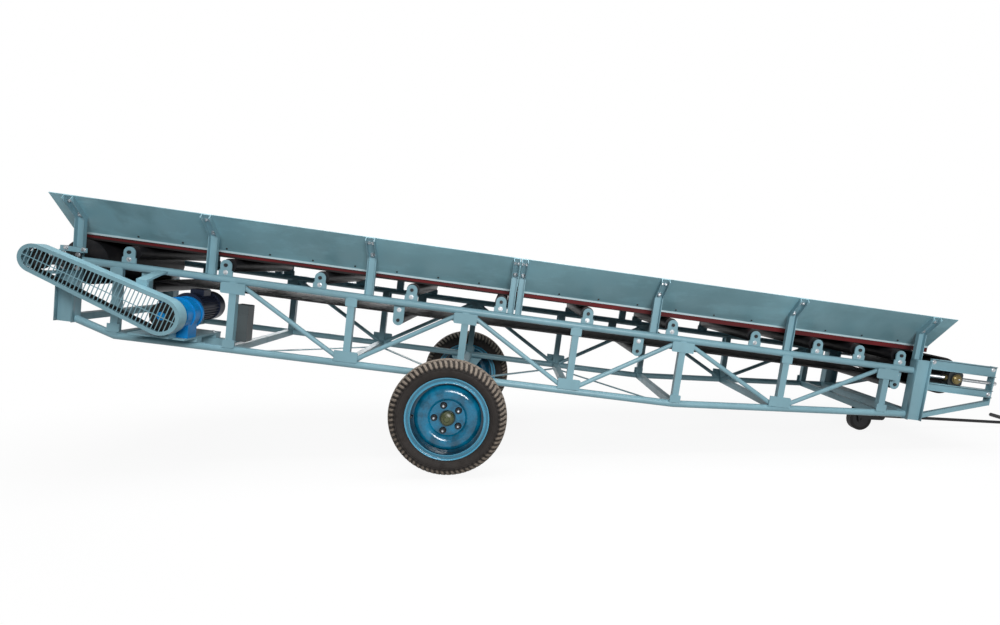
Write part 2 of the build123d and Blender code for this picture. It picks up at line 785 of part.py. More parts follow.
# Gear reducer with its foot, the motor behind it and the base under both
drive_centre = (drive_u, drive_w)
output_reach = -chain_v + sprocket_boss / 2 + shaft_end
with BuildPart() as reducer:
    for start_v, length, radius in (
        (reducer_back_v, reducer_back_v - reducer_front_v, reducer_radius),
        (reducer_back_v, reducer_flange, reducer_flange_radius),
        ((reducer_back_v + reducer_front_v) / 2, reducer_flange, reducer_flange_radius),
        (reducer_front_v, reducer_nose, reducer_nose_radius),
        (reducer_front_v, output_reach + reducer_front_v, output_radius),
    ):
        with BuildSketch(side_plane(start_v)) as reducer_disc:
            with Locations(drive_centre):
                Circle(radius)
        extrude(amount=length)
    foot_v = (reducer_back_v + reducer_front_v) / 2
    with BuildSketch(deck_plane(base_top_w)) as reducer_foot_face:
        with Locations((drive_u, foot_v)):
            Rectangle(reducer_foot[0], reducer_foot[1])
    extrude(amount=drive_w - base_top_w)
save(reducer, "gear_reducer")

motor_centre = (drive_u, drive_w + motor_rise)
with BuildPart() as motor:
    motor_length = motor_back_v - reducer_back_v
    with BuildSketch(side_plane(motor_back_v)) as motor_disc:
        with Locations(motor_centre):
            Circle(motor_radius - fin_height)
            with PolarLocations(motor_radius - fin_height, fin_count):
                Rectangle(2 * fin_height, fin_thickness)
    extrude(amount=motor_length)
    for cap_v, cap_length in ((motor_back_v, motor_cowl), (reducer_back_v + motor_wall, motor_wall)):
        with BuildSketch(side_plane(cap_v)) as cap_disc:
            with Locations(motor_centre):
                Circle(motor_cowl_radius)
        extrude(amount=cap_length)
    with BuildSketch(deck_plane(motor_centre[1])) as terminal_face:
        with Locations((drive_u, motor_back_v - motor_length / 2)):
            Rectangle(terminal_box[0], terminal_box[1])
    extrude(amount=motor_radius + terminal_box[2])
    with BuildSketch(side_plane(motor_back_v - motor_wall)) as motor_room:
        with Locations(motor_centre):
            Circle(motor_radius - fin_height - motor_wall)
    extrude(amount=motor_length - 2 * motor_wall, mode=Mode.SUBTRACT)
save(motor, "motor")

with BuildPart() as drive_base:
    base_low_w = base_top_w - base_thickness
    chord_top = -truss_depth + chord_radius + weld_gap
    with BuildSketch(deck_plane(base_low_w)) as base_face:
        with Locations(((base_head_u + base_tail_u) / 2, (base_front_v + base_back_v) / 2)):
            Rectangle(base_tail_u - base_head_u, base_back_v - base_front_v)
    extrude(amount=base_thickness)
    with BuildSketch(deck_plane(base_low_w)) as base_feet:
        for foot_v in (-truss_half, base_rail_v):
            for foot_u in (base_head_u + base_foot[0] / 2, base_tail_u - base_foot[0] / 2):
                with Locations((foot_u, foot_v)):
                    Rectangle(base_foot[0], base_foot[1])
    extrude(amount=chord_top - base_low_w)
    rail_gap_start = head_kink_u + vertical_size / 2 + weld_gap
    rail_gap_end = -vertical_size / 2 - weld_gap
    with BuildSketch(section_plane(rail_gap_start)) as rail_face:
        with Locations((base_rail_v, chord_top - vertical_size / 2)):
            Rectangle(vertical_size, vertical_size)
    extrude(amount=rail_gap_end - rail_gap_start)
save(drive_base, "drive_base")

# Chain drive: two sprockets, the chain round them, and the guard with its grille
chain_span = hypot(head_shaft_u - drive_u, head_shaft_w - drive_w)
chain_heading = degrees(atan2(head_shaft_w - drive_w, head_shaft_u - drive_u))


def tapered_loop(drive_radius, head_radius, overrun=0.0):
    """Outline round two circles with straight flanks, on the drive shaft and on or past the head shaft."""
    span = chain_span + overrun
    end = (drive_u + span * cos(radians(chain_heading)), drive_w + span * sin(radians(chain_heading)))
    lean = degrees(acos((drive_radius - head_radius) / span))
    upper = chain_heading - lean
    lower = chain_heading + lean
    drive_arc = CenterArc(drive_centre, drive_radius, lower, 360 - 2 * lean)
    head_arc = CenterArc(end, head_radius, upper, 2 * lean)
    Line(drive_arc @ 1, head_arc @ 0)
    Line(head_arc @ 1, drive_arc @ 0)


with BuildPart() as sprockets:
    for centre, radius, bore in (
        (drive_centre, drive_sprocket_radius, output_radius),
        (head_centre, head_sprocket_radius, shaft_radius),
    ):
        for disc_radius, width in ((radius, sprocket_width), (sprocket_boss_radius, sprocket_boss)):
            with BuildSketch(side_plane(chain_v)) as sprocket_disc:
                with Locations(centre):
                    Circle(disc_radius)
                    Circle(bore + running_gap, mode=Mode.SUBTRACT)
            extrude(amount=width / 2, both=True)
save(sprockets, "sprockets")

chain_inset = (chain_thickness - roller_band) / 2 + seat_gap
with BuildLine() as pitch_line:
    tapered_loop(
        drive_sprocket_radius + chain_inset + roller_band / 2, head_sprocket_radius + chain_inset + roller_band / 2
    )
pitch_loop = pitch_line.wires()[0]
link_count = 2 * round(pitch_loop.length / link_pitch / 2)
with BuildPart() as chain:
    with BuildSketch(side_plane(chain_v)) as chain_face:
        with BuildLine() as chain_outer:
            tapered_loop(
                drive_sprocket_radius + chain_inset + roller_band, head_sprocket_radius + chain_inset + roller_band
            )
        make_face()
        with BuildLine() as chain_inner:
            tapered_loop(drive_sprocket_radius + chain_inset, head_sprocket_radius + chain_inset)
        make_face(mode=Mode.SUBTRACT)
    extrude(amount=chain_width / 2, both=True)
    # Link plates, by turns outside and inside
    for turn in (-1, 1):
        for start, lap in ((0, 0.0), (1, link_sheet)):
            plate_v = chain_v + turn * (chain_width / 2 + link_sheet - lap)
            with BuildSketch(side_plane(plate_v)) as link_plates:
                for index in range(start, link_count, 2):
                    place = pitch_loop @ (index / link_count)
                    heading = pitch_loop % (index / link_count)
                    with Locations(Location((place.X, place.Y), degrees(atan2(heading.Y, heading.X)))):
                        Rectangle(link_length, chain_thickness)
            extrude(amount=turn * 1.5 * link_sheet)
save(chain, "drive_chain")

with BuildPart() as guard_shell:
    with BuildSketch(side_plane(guard_back_v)) as guard_band:
        with BuildLine() as band_outer_line:
            tapered_loop(guard_drive_radius, guard_head_radius, guard_overrun)
        make_face()
        with BuildLine() as band_inner_line:
            tapered_loop(guard_drive_radius - guard_sheet, guard_head_radius - guard_sheet, guard_overrun)
        make_face(mode=Mode.SUBTRACT)
    extrude(amount=guard_back_v - guard_front_v)
    # Arms from the band to the head post, to the drive base and to the top chord
    arm_end_v = guard_back_v - guard_arm_lap
    with BuildSketch(side_plane(-post_out)) as head_arm:
        guard_low_w = head_shaft_w + guard_overrun * sin(radians(chain_heading)) - guard_head_radius
        with Locations((head_post_u, guard_low_w + guard_arm[1] / 4)):
            Rectangle(guard_arm[0], guard_arm[1])
    extrude(amount=-post_out - arm_end_v)
    drive_arm_v = base_front_v + guard_arm[0] / 2
    drive_arm_low = base_top_w + seat_gap
    drive_arm_top = drive_w - guard_drive_radius + guard_arm[1] / 2
    with BuildSketch(side_plane(drive_arm_v)) as drive_arm:
        with Locations((drive_u, (drive_arm_low + drive_arm_top) / 2)):
            Rectangle(guard_arm[0], drive_arm_top - drive_arm_low)
    extrude(amount=drive_arm_v - arm_end_v)
    with BuildSketch(section_plane(guard_strip_u - guard_strip[0] / 2)) as strip_section:
        with BuildLine() as strip_outline:
            Polyline(
                (-post_out - weld_gap, guard_strip[1] / 2),
                (arm_end_v, guard_strip_low_w / 2),
                (arm_end_v, guard_strip_low_w),
                (guard_back_v + guard_strip[1], guard_strip_low_w),
                (guard_back_v + guard_strip[1], guard_strip_low_w / 2 - guard_strip[1]),
                (-post_out - weld_gap, -guard_strip[1] / 2),
                close=True,
            )
        make_face()
    extrude(amount=guard_strip[0])
save(guard_shell, "guard_shell")

with BuildPart() as grille:
    with BuildSketch(side_plane(guard_front_v)) as grille_face:
        with BuildLine() as grille_line:
            tapered_loop(guard_drive_radius, guard_head_radius, guard_overrun)
        make_face()
        with BuildLine() as window_line:
            tapered_loop(guard_drive_radius - grille_rim, guard_head_radius - grille_rim, guard_overrun)
        make_face(mode=Mode.SUBTRACT)
    extrude(amount=grille_thickness)
    with BuildSketch(side_plane(guard_front_v)) as grille_bars:
        with BuildLine() as bars_line:
            tapered_loop(guard_drive_radius, guard_head_radius, guard_overrun)
        make_face()
        cell_count = int((chain_span + guard_overrun + guard_drive_radius + guard_head_radius) / grille_pitch)
        for cell in range(cell_count + 1):
            along = cell * grille_pitch - guard_drive_radius
            for turn in (-1, 1):
                with Locations(Location(drive_centre, chain_heading)):
                    with Locations((along, turn * (guard_drive_radius + grille_bar) / 2)):
                        Rectangle(grille_pitch - grille_bar, guard_drive_radius, mode=Mode.SUBTRACT)
    extrude(amount=grille_thickness)
save(grille, "guard_grille")

# Control box on a plate behind the first upright of the near truss
with BuildPart() as control_box:
    box_face_v = -truss_half + vertical_size / 2
    plate_length = box_head_u + box_width + vertical_size / 2
    box_centre_w = box_top_w - box_height / 2
    with BuildSketch(side_plane(box_face_v)) as box_plate_face:
        with Locations((plate_length / 2 - vertical_size / 2, box_centre_w)):
            Rectangle(plate_length, box_height / 2)
    extrude(amount=-box_plate)
    with BuildSketch(side_plane(box_face_v + box_plate)) as box_face:
        with Locations((box_head_u + box_width / 2, box_centre_w)):
            RectangleRounded(box_width, box_height, box_fillet)
    extrude(amount=-box_depth)
save(control_box, "control_box")

# Road axle with its spindles, and the pedestals under the bottom chords
axle_centre = (axle_x, wheel_radius)
spindle_end = track_half + lug_face_out
with BuildPart() as axle:
    with BuildSketch(level_side(0)) as axle_ring:
        with Locations(axle_centre):
            Rectangle(axle_size, axle_size)
            Rectangle(axle_size - 2 * axle_wall, axle_size - 2 * axle_wall, mode=Mode.SUBTRACT)
    extrude(amount=axle_shoulder_v, both=True)
    for side_name, side in sides:
        with BuildSketch(level_side(side * (axle_shoulder_v - axle_wall))) as axle_cap:
            with Locations(axle_centre):
                Rectangle(axle_size, axle_size)
        extrude(amount=-side * axle_wall)
        with BuildSketch(level_side(side * axle_shoulder_v)) as spindle_disc:
            with Locations(axle_centre):
                Circle(spindle_radius)
        extrude(amount=-side * (spindle_end - axle_shoulder_v))
save(axle, "road_axle")

with BuildPart() as pedestals:
    chord_low = -truss_depth - chord_radius - weld_gap
    top_left = on_deck(axle_u - pedestal_top / 2, 0, chord_low)
    top_right = on_deck(axle_u + pedestal_top / 2, 0, chord_low)
    foot_z = wheel_radius + axle_size / 2
    for side_name, side in sides:
        for place, width in (
            (truss_half - pedestal_width / 2, pedestal_wall),
            (truss_half + pedestal_width / 2 - pedestal_wall, pedestal_wall),
        ):
            with BuildSketch(level_side(side * place)) as pedestal_face:
                with BuildLine() as pedestal_outline:
                    Polyline(
                        (top_left.X, top_left.Z),
                        (top_right.X, top_right.Z),
                        (axle_x + pedestal_foot / 2, foot_z),
                        (axle_x - pedestal_foot / 2, foot_z),
                        close=True,
                    )
                make_face()
            extrude(amount=-side * width)
        with BuildSketch(deck_plane(chord_low)) as saddle_face:
            with Locations((axle_u, side * truss_half)):
                Rectangle(pedestal_top, pedestal_width)
        extrude(amount=-pedestal_wall)
save(pedestals, "axle_pedestals")

# Road wheels: tyre, rim and hub
for side_name, side in sides:
    centre = Vector(axle_x, side * track_half, wheel_radius)
    half_section = Plane(origin=centre, x_dir=(1, 0, 0), z_dir=(0, 0, side))
    wheel_axis = Axis(centre, (0, side, 0))
    wheel_face = Plane(origin=centre, x_dir=(1, 0, 0), z_dir=(0, side, 0))
    tyre_half = tyre_width / 2
    bead_top = rim_flange_radius + seat_gap

    with BuildPart() as tyre:
        with BuildSketch(half_section) as tyre_section:
            with BuildLine() as tyre_outline:
                Line((bead_radius, -bead_half), (bead_radius, bead_half))
                for turn in (-1, 1):
                    Line((bead_radius, turn * bead_half), (bead_top, turn * bead_half))
                    ThreePointArc(
                        (bead_top, turn * bead_half),
                        (tyre_bulge_radius, turn * tyre_half),
                        (tyre_shoulder_radius, turn * tyre_shoulder_half),
                    )
                ThreePointArc(
                    (tyre_shoulder_radius, -tyre_shoulder_half),
                    (wheel_radius, 0),
                    (tyre_shoulder_radius, tyre_shoulder_half),
                )
            make_face()
            with BuildLine() as tyre_room:
                inner_half = bead_half - tyre_wall
                Line((bead_radius, -inner_half), (bead_radius, inner_half))
                for turn in (-1, 1):
                    Line((bead_radius, turn * inner_half), (bead_top, turn * inner_half))
                    ThreePointArc(
                        (bead_top, turn * inner_half),
                        (tyre_bulge_radius, turn * (tyre_half - tyre_wall)),
                        (tyre_shoulder_radius - tyre_wall, turn * (tyre_shoulder_half - tyre_wall / 2)),
                    )
                ThreePointArc(
                    (tyre_shoulder_radius - tyre_wall, -tyre_shoulder_half + tyre_wall / 2),
                    (wheel_radius - tyre_wall, 0),
                    (tyre_shoulder_radius - tyre_wall, tyre_shoulder_half - tyre_wall / 2),
                )
            make_face(mode=Mode.SUBTRACT)
        revolve(axis=wheel_axis)
    save(tyre, f"{side_name}_tyre")

    with BuildPart() as rim:
        barrel_out = bead_radius - seat_gap
        with BuildSketch(half_section) as barrel_section:
            with Locations((barrel_out - rim_wall / 2, 0)):
                Rectangle(rim_wall, 2 * bead_half + 2 * rim_wall + 2 * seat_gap)
            for turn in (-1, 1):
                lip_y = turn * (bead_half + seat_gap + rim_wall / 2)
                with Locations(((barrel_out - rim_wall + rim_flange_radius) / 2, lip_y)):
                    Rectangle(rim_flange_radius - barrel_out + rim_wall, rim_wall)
            with Locations((sum(lip_groove[:2]) / 2, bead_half + seat_gap + rim_wall - lip_groove[2] / 2)):
                Rectangle(lip_groove[1] - lip_groove[0], lip_groove[2], mode=Mode.SUBTRACT)
            with BuildLine() as disc_outline:
                hole_radius = hub_cap_radius + stud_room
                weld_radius = barrel_out - rim_wall / 2
                bulge = ThreePointArc(
                    (lug_face_radius, lug_face_out),
                    (disc_ring_radius, disc_ring_out),
                    (disc_edge_radius, disc_edge_out),
                )
                back_bulge = ThreePointArc(
                    (disc_edge_radius - disc_wall, disc_edge_out - disc_wall),
                    (disc_ring_radius, disc_ring_out - disc_wall),
                    (lug_face_radius, lug_face_out - disc_wall),
                )
                Polyline(
                    bulge @ 1,
                    (weld_radius, disc_edge_out),
                    (weld_radius, disc_edge_out - disc_wall),
                    back_bulge @ 0,
                )
                Polyline(
                    back_bulge @ 1,
                    (hole_radius, lug_face_out - disc_wall),
                    (hole_radius, lug_face_out),
                    bulge @ 0,
                )
            make_face()
        revolve(axis=wheel_axis)
        with BuildSketch(wheel_face) as stud_holes:
            with PolarLocations(nut_circle_radius, nut_count, nut_phase):
                Circle(stud_radius + stud_room)
        extrude(amount=2 * lug_face_out, mode=Mode.SUBTRACT)
    save(rim, f"{side_name}_rim")

    with BuildPart() as hub:
        flange_out = lug_face_out - disc_wall - seat_gap
        with BuildSketch(half_section) as hub_section:
            with BuildLine() as hub_outline:
                Polyline(
                    (spindle_radius + running_gap, -hub_inner),
                    (hub_radius, -hub_inner),
                    (hub_radius, flange_out - hub_flange),
                    (hub_flange_radius, flange_out - hub_flange),
                    (hub_flange_radius, flange_out),
                    (hub_cap_radius, flange_out),
                    (hub_cap_radius, hub_cap_out - hub_cap_radius / 2),
                    (0.92 * hub_cap_radius, hub_cap_out - hub_cap_radius / 3.5),
                    (0.75 * hub_cap_radius, hub_cap_out - hub_cap_radius / 8),
                    (hub_button_radius + hub_button, hub_cap_out),
                    (hub_button_radius, hub_cap_out + hub_button),
                    (0, hub_cap_out + hub_button),
                    (0, lug_face_out + sweep_gap),
                    (spindle_radius + running_gap, lug_face_out + sweep_gap),
                    close=True,
                )
            make_face()
        revolve(axis=wheel_axis)
        with BuildSketch(wheel_face.offset(flange_out - hub_flange / 2)) as studs:
            with PolarLocations(nut_circle_radius, nut_count, nut_phase):
                Circle(stud_radius)
        extrude(amount=hub_flange / 2 + disc_wall + nut_height)
        with BuildSketch(wheel_face.offset(lug_face_out + weld_gap)) as nuts:
            with PolarLocations(nut_circle_radius, nut_count, nut_phase):
                RegularPolygon(nut_size, 6)
        extrude(amount=nut_height)
    save(hub, f"{side_name}_hub")

# Beam between the tail posts, with the king pin of the tail fork
tail_beam_z = tail_beam_low + tail_beam_height / 2
beam_half = post_in - weld_gap
ring_low = fork_crown_w + seat_gap
crown_low = fork_crown_w - fork_crown
with BuildPart() as tail_beam:
    with BuildSketch(level_side(0)) as beam_ring:
        with Locations((tail_x, tail_beam_z)):
            Rectangle(tail_beam_width, tail_beam_height)
            Rectangle(
                tail_beam_width - 2 * tail_beam_wall, tail_beam_height - 2 * tail_beam_wall, mode=Mode.SUBTRACT
            )
    extrude(amount=beam_half, both=True)
    with BuildSketch(Plane.XY.offset(tail_beam_low - swivel_plate[1])) as swivel_face:
        with Locations((tail_x, 0)):
            Rectangle(swivel_plate[0], swivel_plate[0])
    extrude(amount=swivel_plate[1])
    with BuildSketch(Plane.XY.offset(ring_low)) as ring_face:
        with Locations((tail_x, 0)):
            Circle(king_ring_radius)
    extrude(amount=tail_beam_low - swivel_plate[1] - ring_low)
    with BuildSketch(Plane.XY.offset(crown_low)) as king_face:
        with Locations((tail_x, 0)):
            Circle(king_pin_radius)
    extrude(amount=ring_low - crown_low)
save(tail_beam, "tail_beam")

# Fork of the tail wheel
cheek_in = tail_width / 2 + sweep_gap
cheek_out = cheek_in + fork_cheek
with BuildPart() as fork:
    with BuildSketch(Plane.XY.offset(crown_low)) as crown_face:
        with Locations((tail_x, 0)):
            Circle(king_ring_radius + fork_cheek)
        with Locations((tail_x, 0)):
            Rectangle(2 * king_ring_radius, 2 * cheek_out)
            Circle(king_pin_radius + running_gap, mode=Mode.SUBTRACT)
    extrude(amount=fork_crown)
    for side_name, side in sides:
        with BuildSketch(level_side(side * cheek_in)) as cheek_face:
            with BuildLine() as cheek_outline:
                Polyline(
                    (tail_x - king_ring_radius, fork_crown_w),
                    (tail_x - fork_cheek_radius, tail_radius),
                    (tail_x + fork_cheek_radius, tail_radius),
                    (hinge_x, hinge_height - fork_cheek_radius),
                    (hinge_x, hinge_height + fork_cheek_radius),
                    (tail_x + king_ring_radius, fork_crown_w),
                    close=True,
                )
            make_face()
            with Locations((tail_x, tail_radius), (hinge_x, hinge_height)):
                Circle(fork_cheek_radius)
        extrude(amount=-side * fork_cheek)
    with BuildSketch(level_side(0)) as fork_pins:
        with Locations((tail_x, tail_radius)):
            Circle(tail_pin_radius)
        with Locations((hinge_x, hinge_height)):
            Circle(hinge_pin_radius)
    extrude(amount=cheek_out + sweep_gap, both=True)
save(fork, "tail_fork")

with BuildPart() as tail_tyre:
    with BuildSketch(level_side(0)) as tail_tyre_face:
        with Locations((tail_x, tail_radius)):
            Circle(tail_radius)
            Circle(tail_radius - tail_tread, mode=Mode.SUBTRACT)
    extrude(amount=tail_width / 2, both=True)
save(tail_tyre, "tail_tyre")

with BuildPart() as tail_core:
    with BuildSketch(level_side(0)) as tail_core_face:
        with Locations((tail_x, tail_radius)):
            Circle(tail_radius - tail_tread - weld_gap)
            Circle(tail_pin_radius + running_gap, mode=Mode.SUBTRACT)
    extrude(amount=tail_width / 2, both=True)
save(tail_core, "tail_core")

# Pull bar: an eye on the fork's pin, the rod and the T handle lying on the ground
hinge_point = Vector(hinge_x, 0, hinge_height)
handle_point = Vector(handle_x, 0, collar_radius)
with BuildPart() as pull_bar:
    with BuildSketch(between(hinge_point, handle_point)) as rod_disc:
        Circle(bar_radius)
    extrude(amount=bar_length)
    with BuildSketch(level_side(0)) as eye_disc:
        with Locations((hinge_x, hinge_height)):
            Circle(bar_eye_radius)
    extrude(amount=tail_width / 2, both=True)
    with BuildSketch(level_side(0)) as handle_disc:
        with Locations((handle_x, collar_radius)):
            Circle(handle_radius)
    extrude(amount=handle_half, both=True)
    with BuildSketch(level_side(0)) as collar_disc:
        with Locations((handle_x, collar_radius)):
            Circle(collar_radius)
    extrude(amount=collar_half, both=True)
    fillet(pull_bar.edges().filter_by(GeomType.CIRCLE).group_by(Axis.Y)[0], handle_dome)
    fillet(pull_bar.edges().filter_by(GeomType.CIRCLE).group_by(Axis.Y)[-1], handle_dome)
    with BuildSketch(level_side(0)) as eye_bore:
        with Locations((hinge_x, hinge_height)):
            Circle(hinge_pin_radius + running_gap)
    extrude(amount=tail_width, both=True, mode=Mode.SUBTRACT)
save(pull_bar, "pull_bar")
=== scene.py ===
"""Looks of the portable belt conveyor: finishes for every solid, tyre tread, fasteners, trim and studio."""
import json
import math

import bmesh
import bpy
import numpy as np
from bpy.props import FloatProperty, FloatVectorProperty, IntProperty, PointerProperty
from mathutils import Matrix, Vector


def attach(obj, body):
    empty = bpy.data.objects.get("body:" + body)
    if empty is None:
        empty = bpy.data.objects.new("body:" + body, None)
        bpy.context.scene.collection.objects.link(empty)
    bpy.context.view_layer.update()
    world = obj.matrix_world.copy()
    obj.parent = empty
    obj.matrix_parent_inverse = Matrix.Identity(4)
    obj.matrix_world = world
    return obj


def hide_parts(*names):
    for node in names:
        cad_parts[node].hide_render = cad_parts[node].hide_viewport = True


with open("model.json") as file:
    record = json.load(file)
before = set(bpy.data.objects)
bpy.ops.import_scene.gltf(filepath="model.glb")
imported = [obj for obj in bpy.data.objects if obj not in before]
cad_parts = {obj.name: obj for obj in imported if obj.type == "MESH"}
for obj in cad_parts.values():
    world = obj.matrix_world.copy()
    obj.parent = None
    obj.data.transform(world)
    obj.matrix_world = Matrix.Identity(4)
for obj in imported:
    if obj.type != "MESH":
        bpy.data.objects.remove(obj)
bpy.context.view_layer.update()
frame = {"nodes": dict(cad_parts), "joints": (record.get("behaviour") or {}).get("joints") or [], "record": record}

bl_info = {
    "name": "Portable Belt Conveyor Looks",
    "version": (1, 0, 0),
    "blender": (4, 5, 0),
    "location": "View3D > Sidebar > Conveyor",
    "description": "Finishes, tyre tread, fasteners and studio for the portable belt conveyor",
    "category": "Object",
}

JOINTS = {joint["name"]: joint for joint in frame["joints"]}
AXLE = np.array(JOINTS["near_wheel_spin"]["pos_m"])
SIDES = {"near": -1, "far": 1}

# Deck coordinates, in metres: u along the belt towards the tail, v across, w square to the belt
TILT = math.radians(7.9)
AXLE_RUN, ORIGIN_HEIGHT = 1.216027, 1.085929
DECK_ORIGIN = np.array([AXLE[0] - AXLE_RUN, 0.0, ORIGIN_HEIGHT])

# Trusses and end posts, with the heights that the posts' two lips reach
TRUSS_HALF, CHORD_RADIUS = 0.5, 0.02115
POST_OUT = TRUSS_HALF + CHORD_RADIUS
POST_WEB = 0.096
HEAD_POST, HEAD_FOOT, HEAD_LIP_TOPS = -0.887, -0.350, (0.044, -0.062)
TAIL_POST, TAIL_FOOT, TAIL_LIP_TOPS = 4.19, -0.312, (0.070, 0.070)

# Side boards, as (v, w) across the deck, and their posts
BOARD_V, BOARD_LOW = 0.401, 0.148
BOARD_KINK, BOARD_TOP = (0.5, 0.246), (0.617, 0.348)
BOARD_ENDS, BOARD_JOINT = (-0.943, 4.29), 1.604
ARM_SHEET = 0.004
FLARE = math.atan2(BOARD_TOP[1] - BOARD_KINK[1], BOARD_TOP[0] - BOARD_KINK[0])
CREASE_W = BOARD_KINK[1] - (BOARD_KINK[0] - BOARD_V) * math.tan(FLARE)
ARM_KNEE = (BOARD_KINK[0], BOARD_KINK[1] - ARM_SHEET / math.cos(FLARE))
POST_US = np.array([-0.841, -0.130, 0.754, 1.581, 1.627, 2.453, 3.302, 4.151])

# Rollers, shafts and take-ups
ROLLER_US = np.array([*(-0.58 + 0.525 * k for k in range(8)), 3.5, 3.775, 4.05])
RETURN_US = np.array([-0.49, 0.93, 2.38, 4.06])
HEAD_SHAFT, TAIL_SHAFT = (-0.868, -0.006), (4.43, -0.019)
TAKE_UP_RUN = (TAIL_POST + POST_WEB / 2, 4.68)
RAILS = ((0.090, 0.024), (-0.062, -0.110))
BLOCK_HALF, BLOCK_OUT = 0.048, 0.5258
SCREW_V = POST_OUT - 0.025

# Drive and road wheels
DRIVE = (-0.248, -0.218)
REDUCER_FRONT, BASE_TOP = -0.665, -0.345
NUT_COUNT, NUT_CIRCLE, NUT_PHASE = 5, 0.074, math.radians(33)
NUT_FOOT, NUT_TOP = 0.0223, 0.0403
VALVE_CIRCLE, VALVE_TURN, VALVE_FOOT = 0.1965, math.radians(176), 0.012

# Bolt places: (v, w) on brackets and hangers, (u, w) on rails and ledges, (u, v) on the drive's base
BRACKET_BOLT, HANGER_BOLT = (0.504, 0.040), (0.47865, -0.046)
RAIL_BOLTS = ((4.262, 0.070), (4.664, 0.070), (4.664, -0.090))
LEDGE_BOLTS = ((-0.900, 0.061), (-0.808, 0.061))
BASE_BOLTS = ((-0.44, -0.515), (-0.2, -0.515), (-0.44, -0.27), (-0.2, -0.27))

# Points nearer than this are one point of a mesh, and round fittings turn in this many steps
SAME_POINT = 1e-6
SMALL_STEPS = 12

# Colours of dirt and wear, and of painted highlight and painted shade
DUST = (0.16, 0.14, 0.11)
BOARD_DUST = (0.3, 0.28, 0.24)
RUBBER_DUST = (0.07, 0.07, 0.07)
RIM_DUST = (0.16, 0.24, 0.26)
# Painted highlight on the rims' lip
RIM_LIP_HIGHLIGHT = (0.10, 0.42, 0.62)
RUST = (0.16, 0.075, 0.035)
GREASE = (0.03, 0.024, 0.015)
# Painted shade above and below the skirt strip's red band
STRIP_SHADE = (0.010, 0.008, 0.008)


def on_deck(u, v, w):
    """Points at deck coordinates, numbers or whole arrays: turned by the deck's tilt and moved."""
    u, v, w = np.broadcast_arrays(u, v, w)
    x = u * math.cos(TILT) + w * math.sin(TILT)
    z = w * math.cos(TILT) - u * math.sin(TILT)
    return np.stack([x, v, z], axis=-1) + DECK_ORIGIN


def deck_direction(u, v, w):
    """Direction of a deck direction."""
    return on_deck(u, v, w) - DECK_ORIGIN


def wheel_centre(side):
    """Centre of a road wheel, the far one mirrored."""
    return AXLE * [1.0, -side, 1.0]


# Surfaces


def grid_faces(rows, columns, wrap_rows=False):
    """Quads of a grid of points whose columns, and rows where asked, close on themselves."""
    r, c = np.meshgrid(np.arange(rows if wrap_rows else rows - 1), np.arange(columns), indexing="ij")
    right, below = (c + 1) % columns, (r + 1) % rows
    corners = ((r, c), (r, right), (below, right), (below, c))
    return np.stack([row * columns + column for row, column in corners], axis=-1).reshape(-1, 4)


def lathe_shape(profile, steps, ripple=None, tip=0.0):
    """Closed surface of a profile of (radius, height) turned about Z: (r cos t, r sin t, h).

    ripple multiplies the radius by a function of the turn. Poles on the axis close both ends, the last one
    higher than its row by tip.
    """
    profile = np.asarray(profile, float)
    foot, top = [[0.0, profile[0, 1]]], [[0.0, profile[-1, 1] + tip]]
    profile = np.concatenate([foot, profile, top])
    turn = np.arange(steps) * 2 * math.pi / steps
    radius = profile[:, :1] * (np.ones(steps) if ripple is None else ripple(turn))
    height = np.repeat(profile[:, 1:], steps, axis=1)
    points = np.stack([radius * np.cos(turn), radius * np.sin(turn), height], axis=-1)
    return points.reshape(-1, 3), grid_faces(len(profile), steps)


def placed(shape, places, normals):
    """Copies of one shape with its Z axis along each normal: p = place + x a + y b + z n, as one array."""
    points, faces = shape
    places = np.asarray(places, float).reshape(-1, 3)
    normal = np.broadcast_to(np.asarray(normals, float), places.shape)
    normal = normal / np.linalg.norm(normal, axis=1, keepdims=True)
    helper = np.where(np.abs(normal[:, 2:]) > 0.9, [[1.0, 0.0, 0.0]], [[0.0, 0.0, 1.0]])
    a = np.cross(helper, normal)
    a /= np.linalg.norm(a, axis=1, keepdims=True)
    b = np.cross(normal, a)
    basis = np.stack([a, b, normal], axis=1)
    moved = np.einsum("pk,nkx->npx", points, basis) + places[:, None, :]
    shifted = faces[None] + (np.arange(len(places)) * len(points))[:, None, None]
    return moved.reshape(-1, 3), shifted.reshape(-1, 4)


def joined(*shapes):
    """Several shapes as one array of points and faces."""
    points, faces, start = [], [], 0
    for shape_points, shape_faces in shapes:
        points.append(shape_points)
        faces.append(shape_faces + start)
        start += len(shape_points)
    return np.concatenate(points), np.concatenate(faces)


def rounded_section(width, depth, corner, steps=3):
    """Rounded rectangle of points (x, y): corner centre + r (cos t, sin t) over its four quarter turns."""
    quarter = np.repeat(np.arange(4), steps)
    t = np.tile(np.linspace(0, math.pi / 2, steps), 4) + quarter * math.pi / 2
    x = (width / 2 - corner) * np.array([1, -1, -1, 1])[quarter] + corner * np.cos(t)
    y = (depth / 2 - corner) * np.array([1, 1, -1, -1])[quarter] + corner * np.sin(t)
    return np.stack([x, y], axis=-1)


def bar_shape(start, end, across, width, depth, corner=0.0012):
    """Bar from start to end over a rounded section: p + x a + y b, its ends closed on its middle line."""
    along = (end - start) / np.linalg.norm(end - start)
    a = across - along * np.dot(across, along)
    a /= np.linalg.norm(a)
    b = np.cross(along, a)
    section = rounded_section(width, depth, corner)
    ring = section[:, :1] * a + section[:, 1:] * b
    rows = np.stack([start + 0 * ring, start + ring, end + ring, end + 0 * ring])
    return rows.reshape(-1, 3), grid_faces(4, len(section))


